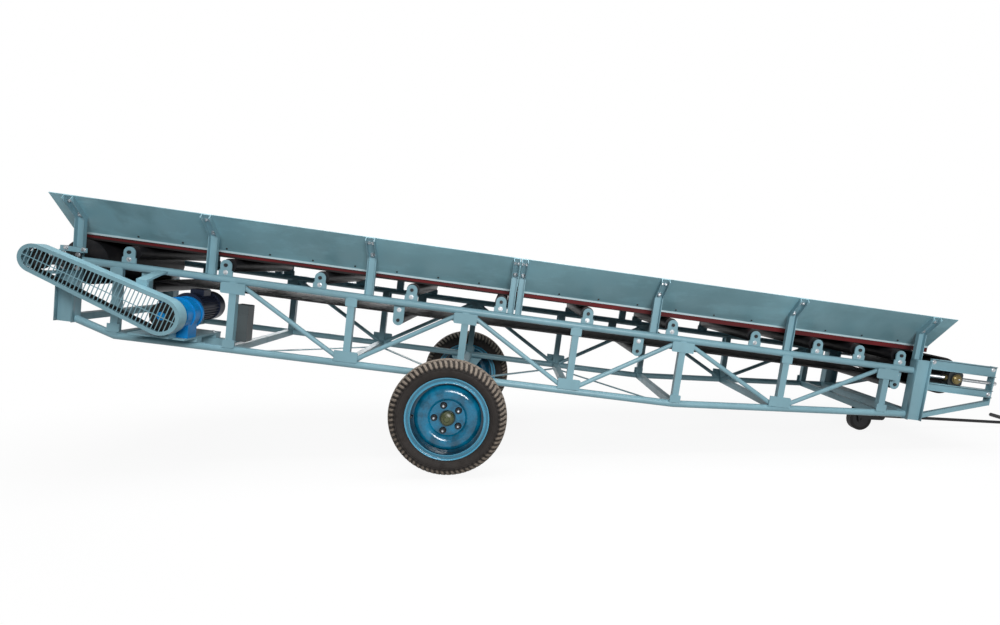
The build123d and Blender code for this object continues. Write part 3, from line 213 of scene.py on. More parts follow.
def thread_shape(radius, length, pitch):
    """Threaded rod along Z: a lathe whose radius swings by a triangle wave of the thread's pitch."""
    height = np.arange(0.0, length, pitch / 2)
    wave = radius - 0.35 * pitch * (np.arange(len(height)) % 2)
    return lathe_shape(np.stack([wave, height], axis=-1), SMALL_STEPS)


def arc_through(start, middle, end, count):
    """Points of the circle through three points: centre + r (cos t, sin t), t through the middle one."""
    (ax, ay), (bx, by), (cx, cy) = start, middle, end
    a, b, c = ax**2 + ay**2, bx**2 + by**2, cx**2 + cy**2
    d = 2 * (ax * (by - cy) + bx * (cy - ay) + cx * (ay - by))
    ux = (a * (by - cy) + b * (cy - ay) + c * (ay - by)) / d
    uy = (a * (cx - bx) + b * (ax - cx) + c * (bx - ax)) / d
    angles = np.unwrap(np.arctan2([ay - uy, by - uy, cy - uy], [ax - ux, bx - ux, cx - ux]))
    t = np.linspace(angles[0], angles[2], count)
    radius = math.hypot(ax - ux, ay - uy)
    return np.stack([ux + radius * np.cos(t), uy + radius * np.sin(t)], axis=-1)


def hexagon(turn):
    """Radius of a hexagon of corner radius 1 at each turn."""
    sector = np.mod(turn, math.pi / 3) - math.pi / 6
    return math.cos(math.pi / 6) / np.cos(sector)


def bolt_shape(corner, washer=True):
    """Hexagon head on a washer, Z outwards: lathes, of which the head's radius follows a hexagon."""
    washer_radius, washer_height, head, sunk = 1.35 * corner, 0.22 * corner, 0.95 * corner, 0.1 * corner
    base = washer_height if washer else -sunk
    rows = [(corner, base), (corner, base + 0.8 * head), (0.84 * corner, base + head)]
    head_shape = lathe_shape(rows, SMALL_STEPS, hexagon)
    if not washer:
        return head_shape
    ring = [(washer_radius, -sunk), (washer_radius, washer_height)]
    return joined(lathe_shape(ring, SMALL_STEPS), head_shape)


def close_poles(mesh):
    """Merge the points that meet at a pole, which leaves every shape closed."""
    work = bmesh.new()
    work.from_mesh(mesh)
    bmesh.ops.remove_doubles(work, verts=work.verts, dist=SAME_POINT)
    work.to_mesh(mesh)
    work.free()


def make_piece(name, shape, finish, body, smooth=False):
    """Mesh object of a shape, with its place in its mesh, that rides on a body."""
    points, faces = shape
    mesh = bpy.data.meshes.new(name)
    mesh.from_pydata(points.tolist(), [], faces.tolist())
    close_poles(mesh)
    mesh.polygons.foreach_set("use_smooth", np.full(len(mesh.polygons), smooth))
    mesh.materials.append(FINISHES[finish])
    mesh.update()
    piece = bpy.data.objects.new(name, mesh)
    bpy.context.scene.collection.objects.link(piece)
    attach(piece, body)
    return piece


# Shader expressions


class Field:
    """A shader socket that takes part in Python expressions, each adding a Math node."""

    def __init__(self, nodes, socket):
        self.nodes = nodes
        self.socket = socket

    def math(self, operation, *values):
        return self.nodes.add("ShaderNodeMath", {"operation": operation}, dict(enumerate(values)))

    def __add__(self, other):
        return self.math("ADD", self, other)

    __radd__ = __add__

    def __sub__(self, other):
        return self.math("SUBTRACT", self, other)

    def __rsub__(self, other):
        return self.math("SUBTRACT", other, self)

    def __mul__(self, other):
        return self.math("MULTIPLY", self, other)

    __rmul__ = __mul__

    def __pow__(self, other):
        return self.math("POWER", self, other)

    def __abs__(self):
        return self.math("ABSOLUTE", self)

    def sine(self):
        return self.math("SINE", self)

    def largest(self, other):
        return self.math("MAXIMUM", self, other)

    def step(self, low, high):
        """0 below low, 1 above high, smooth between; falling where low is above high."""
        if low > high:
            return 1 - self.step(high, low)
        inputs = {"Value": self, "From Min": low, "From Max": high}
        return self.nodes.add("ShaderNodeMapRange", {"interpolation_type": "SMOOTHSTEP"}, inputs, "Result")


class Nodes:
    """The nodes of one material or world."""

    def __init__(self, tree):
        self.tree = tree

    def feed(self, socket, value):
        """Give a socket a value, or a link where the value is a field."""
        if isinstance(value, Field):
            self.tree.links.new(value.socket, socket)
        else:
            socket.default_value = value

    def add(self, kind, settings, inputs, output=0):
        """A node of any type: its settings first, then values or links for its sockets."""
        node = self.tree.nodes.new(kind)
        for key, value in settings.items():
            setattr(node, key, value)
        for key, value in inputs.items():
            self.feed(node.inputs[key], value)
        return Field(self, node.outputs[output])

    def ray(self, kind):
        """1 for rays of one kind, such as those from the camera."""
        return self.add("ShaderNodeLightPath", {}, {}, f"Is {kind} Ray")


class Finish(Nodes):
    """A node material built from expressions on Object coordinates."""

    def __init__(self, name, **constants):
        self.material = bpy.data.materials.new(name)
        self.material.use_nodes = True
        super().__init__(self.material.node_tree)
        self.shader = self.tree.nodes["Principled BSDF"]
        for socket, value in constants.items():
            self.feed(self.shader.inputs[socket.replace("_", " ")], value)
        self.place = self.add("ShaderNodeTexCoord", {}, {}, "Object")

    def noise(self, scale, detail=3.0, roughness=0.55, stretch=None):
        """Noise from 0 to 1; stretch scales the coordinates by axis."""
        vector = self.place
        if stretch is not None:
            vector = self.add("ShaderNodeMapping", {}, {"Vector": vector, "Scale": stretch})
        inputs = {"Vector": vector, "Scale": scale, "Detail": detail, "Roughness": roughness}
        return self.add("ShaderNodeTexNoise", {}, inputs, "Fac")

    def mix(self, factor, first, second):
        """Colour between two colours."""
        inputs = {0: factor}
        for place, value in ((6, first), (7, second)):
            inputs[place] = value if isinstance(value, Field) else (*value, 1.0)
        return self.add("ShaderNodeMix", {"data_type": "RGBA"}, inputs, 2)

    def axis(self, name):
        """One of the Object coordinates."""
        return self.add("ShaderNodeSeparateXYZ", {}, {0: self.place}, name)

    def runs_from(self, point):
        """Runs in X and Z from a point."""
        return self.axis("X") - float(point[0]), self.axis("Z") - float(point[2])

    def deck_u(self):
        """Run along the belt."""
        x, z = self.runs_from(DECK_ORIGIN)
        return x * math.cos(TILT) - z * math.sin(TILT)

    def deck_w(self):
        """Height square to the belt."""
        x, z = self.runs_from(DECK_ORIGIN)
        return x * math.sin(TILT) + z * math.cos(TILT)

    def radius_from(self, centre):
        """Distance from an axle that runs across the machine."""
        x, z = self.runs_from(centre)
        return (x * x + z * z) ** 0.5

    def bump(self, height, distance, strength=1.0, under=None):
        """Normal of a height, on top of another normal where one is given."""
        inputs = {"Height": height, "Distance": distance, "Strength": strength}
        if under is not None:
            inputs["Normal"] = under
        return self.add("ShaderNodeBump", {}, inputs)

    def done(self, colour, roughness, normal, metallic=None):
        """Link what varies into the shader and give back the material."""
        links = {"Base Color": colour, "Roughness": roughness, "Normal": normal, "Metallic": metallic}
        for socket, value in links.items():
            if value is not None:
                self.feed(self.shader.inputs[socket], value)
        return self.material


def shade(colour, factor):
    """A colour made lighter or darker."""
    return tuple(min(1.0, channel * factor) for channel in colour)


def frame_enamel(name, colour, dull, grime):
    """Sprayed enamel on steel: softly mottled, with faint run marks, dust specks and an orange-peel skin."""
    finish = Finish(name, Specular_IOR_Level=0.35)
    mottle = finish.noise(3.2, 4.0)
    runs = finish.noise(16.0, 4.0, 0.6, (1.0, 1.0, 0.12))
    speck = finish.noise(210.0, 2.0)
    tone = finish.mix(mottle.step(0.3, 0.72), shade(colour, 0.9), shade(colour, 1.08))
    tone = finish.mix(runs.step(0.52, 0.78) * grime, tone, shade(colour, 0.5))
    tone = finish.mix(speck.step(0.64, 0.8) * (0.6 * grime), tone, DUST)
    rough = dull + (mottle - 0.5) * 0.16 + runs.step(0.5, 0.8) * 0.14
    peel = finish.bump(finish.noise(330.0, 2.0), 0.0006, 0.2)
    dents = finish.bump(finish.noise(9.0, 3.0), 0.004, 0.18, peel)
    return finish.done(tone, rough, dents)


def sheet_enamel(name, colour, edge_highlight, dull):
    """Thin painted sheet: waves that bend the reflections, rougher smears made pale as painted reflection, darker
    patches, both strongest near the head end, and a painted highlight along the low edge.
    """
    finish = Finish(name, Specular_IOR_Level=0.4)
    wave = finish.noise(1.5, 3.0, 0.5)
    smear_and_reflection = finish.noise(5.5, 6.0, 0.66, (0.5, 1.0, 1.6))
    dark_patch = finish.noise(2.4, 5.0, 0.6, (1.0, 1.0, 0.35))
    line = finish.noise(2.6, 2.0, 0.5, (0.7, 1.0, 1.5))
    worn = finish.noise(1.7, 3.0, 0.6)
    dust = finish.noise(120.0, 3.0)
    near_head = finish.deck_u().step(0.9, -0.5)
    tone = finish.mix(wave.step(0.32, 0.7), shade(colour, 0.84), shade(colour, 1.12))
    # Painted reflection: pale smears, strongest near the head end
    tone = finish.mix(smear_and_reflection.step(0.48, 0.66) * (0.36 + near_head * 0.34), tone, shade(colour, 1.4))
    tone = finish.mix(dark_patch.step(0.50, 0.66) * (0.30 + near_head * 0.40), tone, shade(colour, 0.6))
    scratch = abs(line - 0.5).step(0.026, 0.0) * worn.step(0.48, 0.62)
    tone = finish.mix(scratch * 0.2, tone, shade(colour, 1.5))
    tone = finish.mix(dust.step(0.62, 0.82) * 0.16, tone, BOARD_DUST)
    # Painted highlight along the sheet's low edge
    low_edge_highlight = finish.deck_w().step(BOARD_LOW + 0.012, BOARD_LOW + 0.008)
    tone = finish.mix(low_edge_highlight * 0.9, tone, edge_highlight)
    rough = dull + smear_and_reflection.step(0.5, 0.75) * 0.16 + (wave - 0.5) * 0.12
    peel = finish.bump(finish.noise(280.0, 2.0), 0.0005, 0.2)
    waves = finish.bump(finish.noise(1.9, 2.0, 0.4), 0.03, 0.30, peel)
    return finish.done(tone, rough, waves)


def black_rubber(name, colour, dust_colour, dusty):
    """Rubber cover: matte, scuffed along the run, with chalky dust."""
    finish = Finish(name, Specular_IOR_Level=0.3)
    grain = finish.noise(420.0, 2.0)
    scuff = finish.noise(22.0, 5.0, 0.6, (0.06, 1.0, 1.0))
    patch = finish.noise(3.5, 4.0)
    tone = finish.mix(patch.step(0.35, 0.7), shade(colour, 0.75), shade(colour, 1.35))
    tone = finish.mix(scuff.step(0.56, 0.8) * dusty, tone, dust_colour)
    rough = 0.62 + scuff.step(0.5, 0.8) * 0.2
    skin = finish.bump(grain, 0.0008, 0.35)
    ribs = finish.bump(scuff, 0.002, 0.2, skin)
    return finish.done(tone, rough, ribs)


def strip_rubber(name, colour):
    """Skirt strip: dull red in a band between board and belt, with painted shade above and below it, less toward
    the tail.
    """
    finish = Finish(name, Specular_IOR_Level=0.3)
    w = finish.deck_w()
    stain = finish.noise(18.0, 5.0, 0.62, (0.15, 1.0, 1.0))
    # Painted shade: near black save for a red band between board and belt, which widens toward the tail
    toward_tail = finish.deck_u().step(0.4, 3.2)
    unshaded_band = (w + toward_tail * 0.009).step(0.128, 0.132) * (w - toward_tail * 0.003).step(0.146, 0.141)
    tone = finish.mix(stain.step(0.35, 0.75), shade(colour, 0.6), shade(colour, 1.25))
    tone = finish.mix(unshaded_band, STRIP_SHADE, tone)
    return finish.done(tone, 0.55 + stain * 0.3, finish.bump(stain, 0.002, 0.2))


def road_rubber(name, colour, mud_colour):
    """Tyre rubber: browned by road dirt on the lugs, with painted shade, near black, in the tread's openings."""
    finish = Finish(name, Specular_IOR_Level=0.3)
    radius = finish.radius_from(AXLE)
    groove = finish.add("ShaderNodeAttribute", {"attribute_name": "groove"}, {}, "Fac")
    clod = finish.noise(26.0, 6.0, 0.65)
    film = finish.noise(6.0, 4.0)
    grain = finish.noise(380.0, 2.0)
    tone = finish.mix(film.step(0.3, 0.7), shade(colour, 0.7), shade(colour, 1.25))
    shoulder = radius.step(0.276, 0.300)
    tone = finish.mix((clod * 0.5 + shoulder * 0.5).step(0.42, 0.86) * 0.85, tone, mud_colour)
    # Painted shade: the tread's openings are made near black
    tone = finish.mix(groove.step(0.1, 0.7) * 0.88, tone, shade(colour, 0.3))
    rough = 0.7 + clod.step(0.45, 0.75) * 0.22
    rings = (radius * 700.0).sine() * radius.step(0.272, 0.266)
    skin = finish.bump(grain + clod * 2.0, 0.0012, 0.4)
    return finish.done(tone, rough, finish.bump(rings, 0.0012, 0.3, skin))


def cast_metal(name, colour, stain_colour, stain, dull, metal=0.0):
    """Cast or forged metal: sandy skin, stained where oil and rust gather."""
    finish = Finish(name, Specular_IOR_Level=0.35, Metallic=metal)
    blotch = finish.noise(14.0, 5.0, 0.62)
    sand = finish.noise(170.0, 3.0)
    tone = finish.mix(blotch.step(0.32, 0.7), shade(colour, 0.8), shade(colour, 1.18))
    tone = finish.mix((blotch * 0.7 + sand * 0.4).step(0.56, 0.74) * stain, tone, stain_colour)
    rough = dull + (sand - 0.5) * 0.2 + blotch.step(0.5, 0.8) * 0.12
    skin = finish.bump(sand, 0.0012, 0.3)
    return finish.done(tone, rough, finish.bump(blotch, 0.003, 0.2, skin))


def rim_enamel(name, colour):
    """Wheel enamel: scuffed, with a painted highlight on the lip and painted shade in the well, in the lip's
    groove and round the hub.
    """
    finish = Finish(name, Specular_IOR_Level=0.6)
    radius = finish.radius_from(AXLE)
    patch = finish.noise(11.0, 5.0, 0.66)
    scuff = finish.noise(70.0, 4.0, 0.7)
    tone = finish.mix(patch.step(0.36, 0.64), shade(colour, 0.55), shade(colour, 1.3))
    # Painted highlight: the lip is made lighter, as where light catches the flange
    tone = finish.mix(radius.step(0.199, 0.205) * 0.75, tone, RIM_LIP_HIGHLIGHT)
    # Painted shade in the recesses: the well, the lip's groove and round the hub hole
    well = radius.step(0.184, 0.190) * radius.step(0.203, 0.200)
    groove = radius.step(0.211, 0.214) * radius.step(0.225, 0.222)
    hole = radius.step(0.048, 0.044)
    recess_shade = well.largest(groove * 0.75).largest(hole)
    tone = finish.mix(recess_shade * 0.75, tone, shade(colour, 0.12))
    tone = finish.mix((scuff * 0.6 + patch * 0.5).step(0.64, 0.8) * 0.2, tone, RIM_DUST)
    rough = 0.14 + patch.step(0.4, 0.8) * 0.12 + scuff.step(0.6, 0.8) * 0.12
    dents = finish.bump(finish.noise(24.0, 3.0), 0.004, 0.4)
    fold = radius.step(0.204, 0.213) * radius.step(0.230, 0.220)
    return finish.done(tone, rough, finish.bump(1 - fold, 0.006, 0.9, dents))


def hub_enamel(name, colour, nut_colour):
    """Hub cap in worn olive enamel, with oiled dark nuts round it."""
    finish = Finish(name, Specular_IOR_Level=0.6)
    blotch = finish.noise(22.0, 5.0, 0.62)
    tone = finish.mix(blotch.step(0.3, 0.7), shade(colour, 0.6), shade(colour, 1.3))
    nuts = finish.radius_from(AXLE).step(0.041, 0.046)
    tone = finish.mix(nuts, tone, nut_colour)
    rough = 0.36 + blotch.step(0.4, 0.8) * 0.2 - nuts * 0.1
    return finish.done(tone, rough, finish.bump(blotch, 0.003, 0.25), nuts * 0.6)


def plated_steel(name, colour, dull, stain):
    """Zinc-plated steel: bright, with dull patches and a trace of rust."""
    finish = Finish(name, Metallic=0.85)
    bloom = finish.noise(90.0, 4.0, 0.6)
    rust = finish.noise(30.0, 5.0, 0.7)
    tone = finish.mix(bloom.step(0.3, 0.7), shade(colour, 0.75), shade(colour, 1.15))
    tone = finish.mix(rust.step(0.56, 0.7) * stain, tone, RUST)
    rough = dull + bloom.step(0.4, 0.8) * 0.2
    return finish.done(tone, rough, finish.bump(finish.noise(600.0, 2.0), 0.0004, 0.3))


# Settings


def size_property(name, description, default):
    return FloatProperty(name=name, description=description, default=default, unit="LENGTH", min=0.0)


def colour_property(name, description, default):
    return FloatVectorProperty(
        name=name, description=description, default=default, subtype="COLOR", min=0.0, max=1.0
    )


def power_property(name, description, default):
    return FloatProperty(name=name, description=description, default=default, subtype="POWER", min=0.0)


class ConveyorColours(bpy.types.PropertyGroup):
    """Colours of the machine's finishes."""

    frame: colour_property("Frame", "Enamel of trusses, posts and guard", (0.228, 0.405, 0.470))
    # Painted light: a lighter copy of the frame's enamel, for light that the downward-facing boards lack
    board: colour_property("Boards", "Enamel of the side boards", (0.236, 0.444, 0.508))
    # Painted highlight colour for the side boards' low edge
    board_edge: colour_property("Board edge", "Lower edge of the side boards", (0.52, 0.63, 0.66))
    strip: colour_property("Strip", "Rubber strips along the belt", (0.13, 0.008, 0.010))
    belt: colour_property("Belt", "Belt cover", (0.008, 0.008, 0.009))
    dark: colour_property("Dark steel", "Rollers, drums, fork and pull bar", (0.012, 0.012, 0.014))
    reducer: colour_property("Reducer", "Enamel of the gear reducer", (0.001, 0.22, 0.57))
    motor: colour_property("Motor", "Enamel of the motor", (0.008, 0.014, 0.035))
    box: colour_property("Control box", "Enamel of the control box", (0.07, 0.085, 0.09))
    rim: colour_property("Rims", "Enamel of the wheel rims", (0.001, 0.140, 0.258))
    hub: colour_property("Hubs", "Hubs and hub caps", (0.060, 0.072, 0.022))
    tyre: colour_property("Tyres", "Tyre rubber", (0.022, 0.018, 0.016))
    mud: colour_property("Road dirt", "Dried dirt on the tyres", (0.28, 0.232, 0.19))
    iron: colour_property("Bearings", "Greased bearing housings", (0.16, 0.135, 0.07))
    zinc: colour_property("Fasteners", "Plated bolts and nuts", (0.62, 0.64, 0.66))


class ConveyorSizes(bpy.types.PropertyGroup):
    """Sizes of the pieces that are added to the solids."""

    tread_depth: size_property("Tread depth", "Depth of the tyre's grooves", 0.009)
    tread_lugs: IntProperty(name="Tread lugs", description="Shoulder lugs round a tyre", default=68, min=12)
    board_bolt: size_property("Board bolt", "Corner radius of the strip's bolts", 0.0055)
    board_bolt_pitch: size_property("Board bolt pitch", "Run between the strip's bolts", 0.245)
    post_bolt: size_property("Post bolt", "Corner radius of the bolts at the board posts' knees", 0.011)
    arm_bolt: size_property("Arm bolt", "Corner radius of the paired bolts near the boards' rims", 0.0075)
    bracket_bolt: size_property("Bracket bolt", "Corner radius of the roller bracket bolts", 0.010)
    bearing_bolt: size_property("Bearing bolt", "Corner radius of the bearing bolts", 0.010)
    drive_bolt: size_property("Drive bolt", "Corner radius of the bolts on reducer and base", 0.0085)
    lip_sheet: size_property("Lip sheet", "Thickness of the channels' lips", 0.005)
    post_lip: size_property("Post lip", "Reach of the end posts' lips", 0.024)
    rail_lip: size_property("Rail lip", "Reach of the take-up rails' lips", 0.018)


class ConveyorStage(bpy.types.PropertyGroup):
    """Studio of the picture."""

    lens: FloatProperty(
        name="Lens", description="Focal length on a 36 mm sensor", default=21.6, subtype="DISTANCE_CAMERA"
    )
    key: power_property("Key light", "Power of the key light", 345.0)
    top: power_property("Top light", "Power of the light above", 265.0)
    sky: FloatProperty(name="Sky", description="Strength of the even light", default=0.05, min=0.0)


GROUPS = {
    "conveyor_colours": ConveyorColours,
    "conveyor_sizes": ConveyorSizes,
    "conveyor_stage": ConveyorStage,
}

FINISHES = {}

# Nodes whose finish differs from the rest of their slot
NODE_FINISHES = {
    "drive_chain": "oiled_chain",
    "sprockets": "oiled_chain",
    "head_bearings": "dark_iron",
    "take_up_blocks": "dark_iron",
    "take_up_screws": "zinc",
}


def finish_table(colours):
    """Every finish of the machine by the record's slot name, and of the pieces that are added."""
    pick = {key: tuple(getattr(colours, key)) for key in colours.__annotations__}
    dark, iron, mud, zinc = pick["dark"], pick["iron"], pick["mud"], pick["zinc"]
    return {
        "frame_paint": frame_enamel("frame_enamel", pick["frame"], dull=0.34, grime=0.16),
        "board_paint": sheet_enamel("board_enamel", pick["board"], pick["board_edge"], dull=0.33),
        "strip_rubber": strip_rubber("strip_rubber", pick["strip"]),
        "belt_rubber": black_rubber("belt_rubber", pick["belt"], RUBBER_DUST, dusty=0.25),
        "dark_steel": cast_metal("roller_enamel", dark, (0.05, 0.04, 0.035), stain=0.3, dull=0.42),
        "bare_steel": plated_steel("worn_steel", shade(zinc, 0.42), dull=0.38, stain=0.5),
        "bearing_iron": cast_metal("greased_iron", iron, GREASE, stain=0.7, dull=0.34, metal=0.35),
        "reducer_paint": cast_metal(
            "reducer_enamel", pick["reducer"], (0.01, 0.05, 0.16), stain=0.35, dull=0.32
        ),
        "motor_paint": cast_metal("motor_enamel", pick["motor"], (0.03, 0.025, 0.03), stain=0.3, dull=0.4),
        "box_paint": frame_enamel("box_enamel", pick["box"], dull=0.45, grime=0.4),
        "hub_paint": hub_enamel("hub_enamel", pick["hub"], (0.018, 0.024, 0.028)),
        "solid_tyre": black_rubber("solid_rubber", (0.014, 0.013, 0.013), mud, dusty=0.35),
        "bar_paint": cast_metal("bar_enamel", dark, (0.06, 0.045, 0.035), stain=0.3, dull=0.38),
        "rim_paint": rim_enamel("rim_enamel", pick["rim"]),
        "tyre": road_rubber("road_rubber", pick["tyre"], mud),
        "zinc": plated_steel("zinc_plate", zinc, dull=0.28, stain=0.12),
        "dark_bolt": plated_steel("oiled_bolt", (0.05, 0.045, 0.045), dull=0.4, stain=0.35),
        "oiled_chain": cast_metal(
            "oiled_chain", (0.020, 0.018, 0.017), (0.06, 0.045, 0.03), stain=0.4, dull=0.4, metal=0.5
        ),
        "dark_iron": cast_metal("painted_iron", (0.030, 0.036, 0.038), GREASE, stain=0.5, dull=0.4),
        "brass": cast_metal(
            "greased_brass", (0.21, 0.165, 0.07), (0.03, 0.024, 0.012), stain=0.6, dull=0.3, metal=0.8
        ),
    }


class CONVEYOR_OT_finishes(bpy.types.Operator):
    """Give every solid of the machine its finish"""

    bl_idname = "conveyor.finishes"
    bl_label = "Finishes"

    def execute(self, context):
        FINISHES.update(finish_table(context.scene.conveyor_colours))
        for subpart in frame["record"]["subparts"]:
            finish = NODE_FINISHES.get(subpart["node"], subpart["material_slot"])
            materials = frame["nodes"][subpart["node"]].data.materials
            materials.clear()
            materials.append(FINISHES[finish])
        return {"FINISHED"}


def tyre_shape(side, depth, lugs):
    """Tyre about its axle: section (r, y) over s, sunk along its normal where the tread is open, turned by t.

    The tread opens at three zigzag grooves y = y0 + a triangle(lugs t), at narrow cuts between them and,
    outside them, at slanted slots cos(lugs t + slant y) > 0 that run over the shoulder. A shallow ring
    goes round each wall. Returns the shape and how open each point is.
    """
    shoulder, crown = (0.312, 0.058), 0.330
    bead, flange_top, bead_half, bulge = 0.206, 0.2323, 0.056, (0.274, 0.076)
    tread_low, slot_low, slot_fade = 0.311, 0.281, 0.005
    zig, rib, middle_half, outer_half = 0.0045, 0.028, 0.0026, 0.003
    slot_edge, edge_fade, cut_edge = 0.031, 0.003, 0.025
    ring_radius, ring_half, ring_edge = 0.2765, 0.0035, 0.06
    slot_slant, slot_offset, cut_slant = 60, 1.6, 150
    wall_points, crown_points, steps = 34, 61, 10 * lugs
    wall = arc_through((flange_top, bead_half), bulge, shoulder, wall_points)
    top = arc_through(shoulder, (crown, 0.0), (shoulder[0], -shoulder[1]), crown_points)[1:-1]
    foot = np.array([[bead, bead_half], [0.5 * (bead + flange_top), bead_half]])
    other = np.concatenate([foot, wall])[::-1] * [1.0, -1.0]
    section = np.concatenate([foot, wall, top, other])
    r, y = section[:, :1], section[:, 1:]
    along = np.gradient(section, axis=0)
    normal = np.stack([-along[:, 1], along[:, 0]], axis=-1)
    normal /= np.linalg.norm(normal, axis=1, keepdims=True)
    outward = normal * np.sign(np.sum(normal * section, axis=1, keepdims=True))
    turn = (np.arange(steps) * 2 * math.pi / steps)[None]
    zigzag = zig * 2 / math.pi * np.arcsin(np.sin(lugs * turn))
    on_tread = r > tread_low
    middle = np.clip(1.5 - np.abs(y - zigzag) / middle_half, 0, 1) * on_tread
    outer = np.clip(1.5 - np.abs(np.abs(y) - rib - zigzag * np.sign(y)) / outer_half, 0, 1) * on_tread
    slant = lugs * turn + slot_slant * np.abs(y) + slot_offset * (y > 0)
    slot = np.clip(3.5 * (np.cos(slant) + 0.05), 0, 1)
    slot = slot * np.clip((np.abs(y) - slot_edge) / edge_fade, 0, 1)
    slot = slot * np.clip((r - slot_low) / slot_fade, 0, 1)
    cut = np.clip(10 * (np.cos(lugs * turn + cut_slant * y) - 0.8), 0, 1)
    cut = cut * (np.abs(y) < cut_edge) * on_tread
    ring = 0.5 * np.clip(1 - np.abs(r - ring_radius) / ring_half, 0, 1) * (np.abs(y) > ring_edge)
    openness = np.maximum.reduce([middle, outer, slot, 0.8 * cut, ring + 0 * turn])
    sunk = section[:, None, :] - (depth * openness)[..., None] * outward[:, None, :]
    points = np.stack([sunk[..., 0] * np.cos(turn), sunk[..., 1], sunk[..., 0] * np.sin(turn)], axis=-1)
    points = (points + wheel_centre(side)).reshape(-1, 3)
    return (points, grid_faces(len(section), steps, wrap_rows=True)), openness.ravel()


class CONVEYOR_OT_road_tyres(bpy.types.Operator):
    """Make the treaded road tyres"""

    bl_idname = "conveyor.road_tyres"
    bl_label = "Road tyres"

    def execute(self, context):
        sizes = context.scene.conveyor_sizes
        for name, side in SIDES.items():
            shape, openness = tyre_shape(side, sizes.tread_depth, sizes.tread_lugs)
            piece = make_piece(f"{name}_tread_tyre", shape, "tyre", f"{name}_wheel", smooth=True)
            groove = piece.data.attributes.new("groove", "FLOAT", "POINT")
            groove.data.foreach_set("value", openness)
            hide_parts(f"{name}_tyre")
        return {"FINISHED"}


class CONVEYOR_OT_board_bolts(bpy.types.Operator):
    """Bolt the side boards to their posts and the rubber strips to the boards"""

    bl_idname = "conveyor.board_bolts"
    bl_label = "Board bolts"

    knee_rise, pair_rise, pair_shift = 0.022, 0.120, 0.011
    strip_start, strip_rise, clearance = 0.11, 0.02, 0.02

    def execute(self, context):
        sizes = context.scene.conveyor_sizes
        arm = np.array([math.cos(FLARE), math.sin(FLARE)])
        knee_bolt, pair_bolt = bolt_shape(sizes.post_bolt), bolt_shape(sizes.arm_bolt)
        strip_bolt = bolt_shape(sizes.board_bolt, washer=False)
        rows = (
            (knee_bolt, self.knee_rise, 0.0),
            (pair_bolt, self.pair_rise, -self.pair_shift),
            (pair_bolt, self.pair_rise, self.pair_shift),
        )
        strip_us = self.strip_places(sizes.board_bolt_pitch)
        strip_v, strip_w = np.array([BOARD_V, CREASE_W]) + arm * self.strip_rise
        post_bolts, strip_bolts = [], []
        for side in SIDES.values():
            below = deck_direction(0, side * math.sin(FLARE), -math.cos(FLARE))
            for bolt, rise, shift in rows:
                v, w = ARM_KNEE + arm * rise
                post_bolts.append(placed(bolt, on_deck(POST_US + shift, side * v, w), below))
            strip_bolts.append(placed(strip_bolt, on_deck(strip_us, side * strip_v, strip_w), below))
        make_piece("board_post_bolts", joined(*post_bolts), "zinc", "frame")
        make_piece("strip_bolts", joined(*strip_bolts), "dark_bolt", "frame")
        return {"FINISHED"}

    def strip_places(self, pitch):
        """Runs of the strip's bolts, at even steps that keep clear of the posts and of the boards' joint."""
        count = int((BOARD_ENDS[1] - BOARD_ENDS[0]) / pitch)
        us = BOARD_ENDS[0] + self.strip_start + pitch * np.arange(count)
        avoid = np.append(POST_US, BOARD_JOINT)
        return us[np.min(np.abs(us[:, None] - avoid), axis=1) > self.clearance]


class CONVEYOR_OT_roller_bolts(bpy.types.Operator):
    """Bolt the roller brackets and the return hangers to the trusses"""

    bl_idname = "conveyor.roller_bolts"
    bl_label = "Roller bolts"

    def execute(self, context):
        bolt = bolt_shape(context.scene.conveyor_sizes.bracket_bolt)
        shapes = []
        for side in SIDES.values():
            for us, (v, w) in ((ROLLER_US, BRACKET_BOLT), (RETURN_US, HANGER_BOLT)):
                shapes.append(placed(bolt, on_deck(us, side * v, w), (0, side, 0)))
        make_piece("roller_bolts", joined(*shapes), "zinc", "frame")
        return {"FINISHED"}


class CONVEYOR_OT_bearing_bolts(bpy.types.Operator):
    """Bolt the head bearings, the take-up rails and the ledges on the head posts"""

    bl_idname = "conveyor.bearing_bolts"
    bl_label = "Bearing bolts"

    bearing_corner, bearing_sheet, ledge_sheet = 0.037, 0.012, 0.005

    def execute(self, context):
        bolt = bolt_shape(context.scene.conveyor_sizes.bearing_bolt)
        square = self.bearing_corner * np.array([(-1, -1), (1, -1), (1, 1), (-1, 1)])
        groups = (
            (square + HEAD_SHAFT, self.bearing_sheet),
            (np.array(RAIL_BOLTS), 0.0),
            (np.array(LEDGE_BOLTS), self.ledge_sheet),
        )
        shapes = []
        for side in SIDES.values():
            for spots, sheet in groups:
                places = on_deck(spots[:, 0], side * (POST_OUT + sheet), spots[:, 1])
                shapes.append(placed(bolt, places, (0, side, 0)))
        make_piece("bearing_bolts", joined(*shapes), "zinc", "frame")
        return {"FINISHED"}


class CONVEYOR_OT_drive_bolts(bpy.types.Operator):
    """Bolt the reducer's flanges and its foot"""

    bl_idname = "conveyor.drive_bolts"
    bl_label = "Drive bolts"

    flange_count, flange_circle, flange_phase = 8, 0.072, 0.2

    def execute(self, context):
        bolt = bolt_shape(context.scene.conveyor_sizes.drive_bolt, washer=False)
        turn = np.arange(self.flange_count) * 2 * math.pi / self.flange_count + self.flange_phase
        u = DRIVE[0] + self.flange_circle * np.cos(turn)
        w = DRIVE[1] + self.flange_circle * np.sin(turn)
        base = np.array(BASE_BOLTS)
        flange_bolts = placed(bolt, on_deck(u, REDUCER_FRONT, w), (0, -1, 0))
        base_bolts = placed(bolt, on_deck(base[:, 0], base[:, 1], BASE_TOP), deck_direction(0, 0, 1))
        make_piece("drive_bolts", joined(flange_bolts, base_bolts), "zinc", "frame")
        return {"FINISHED"}


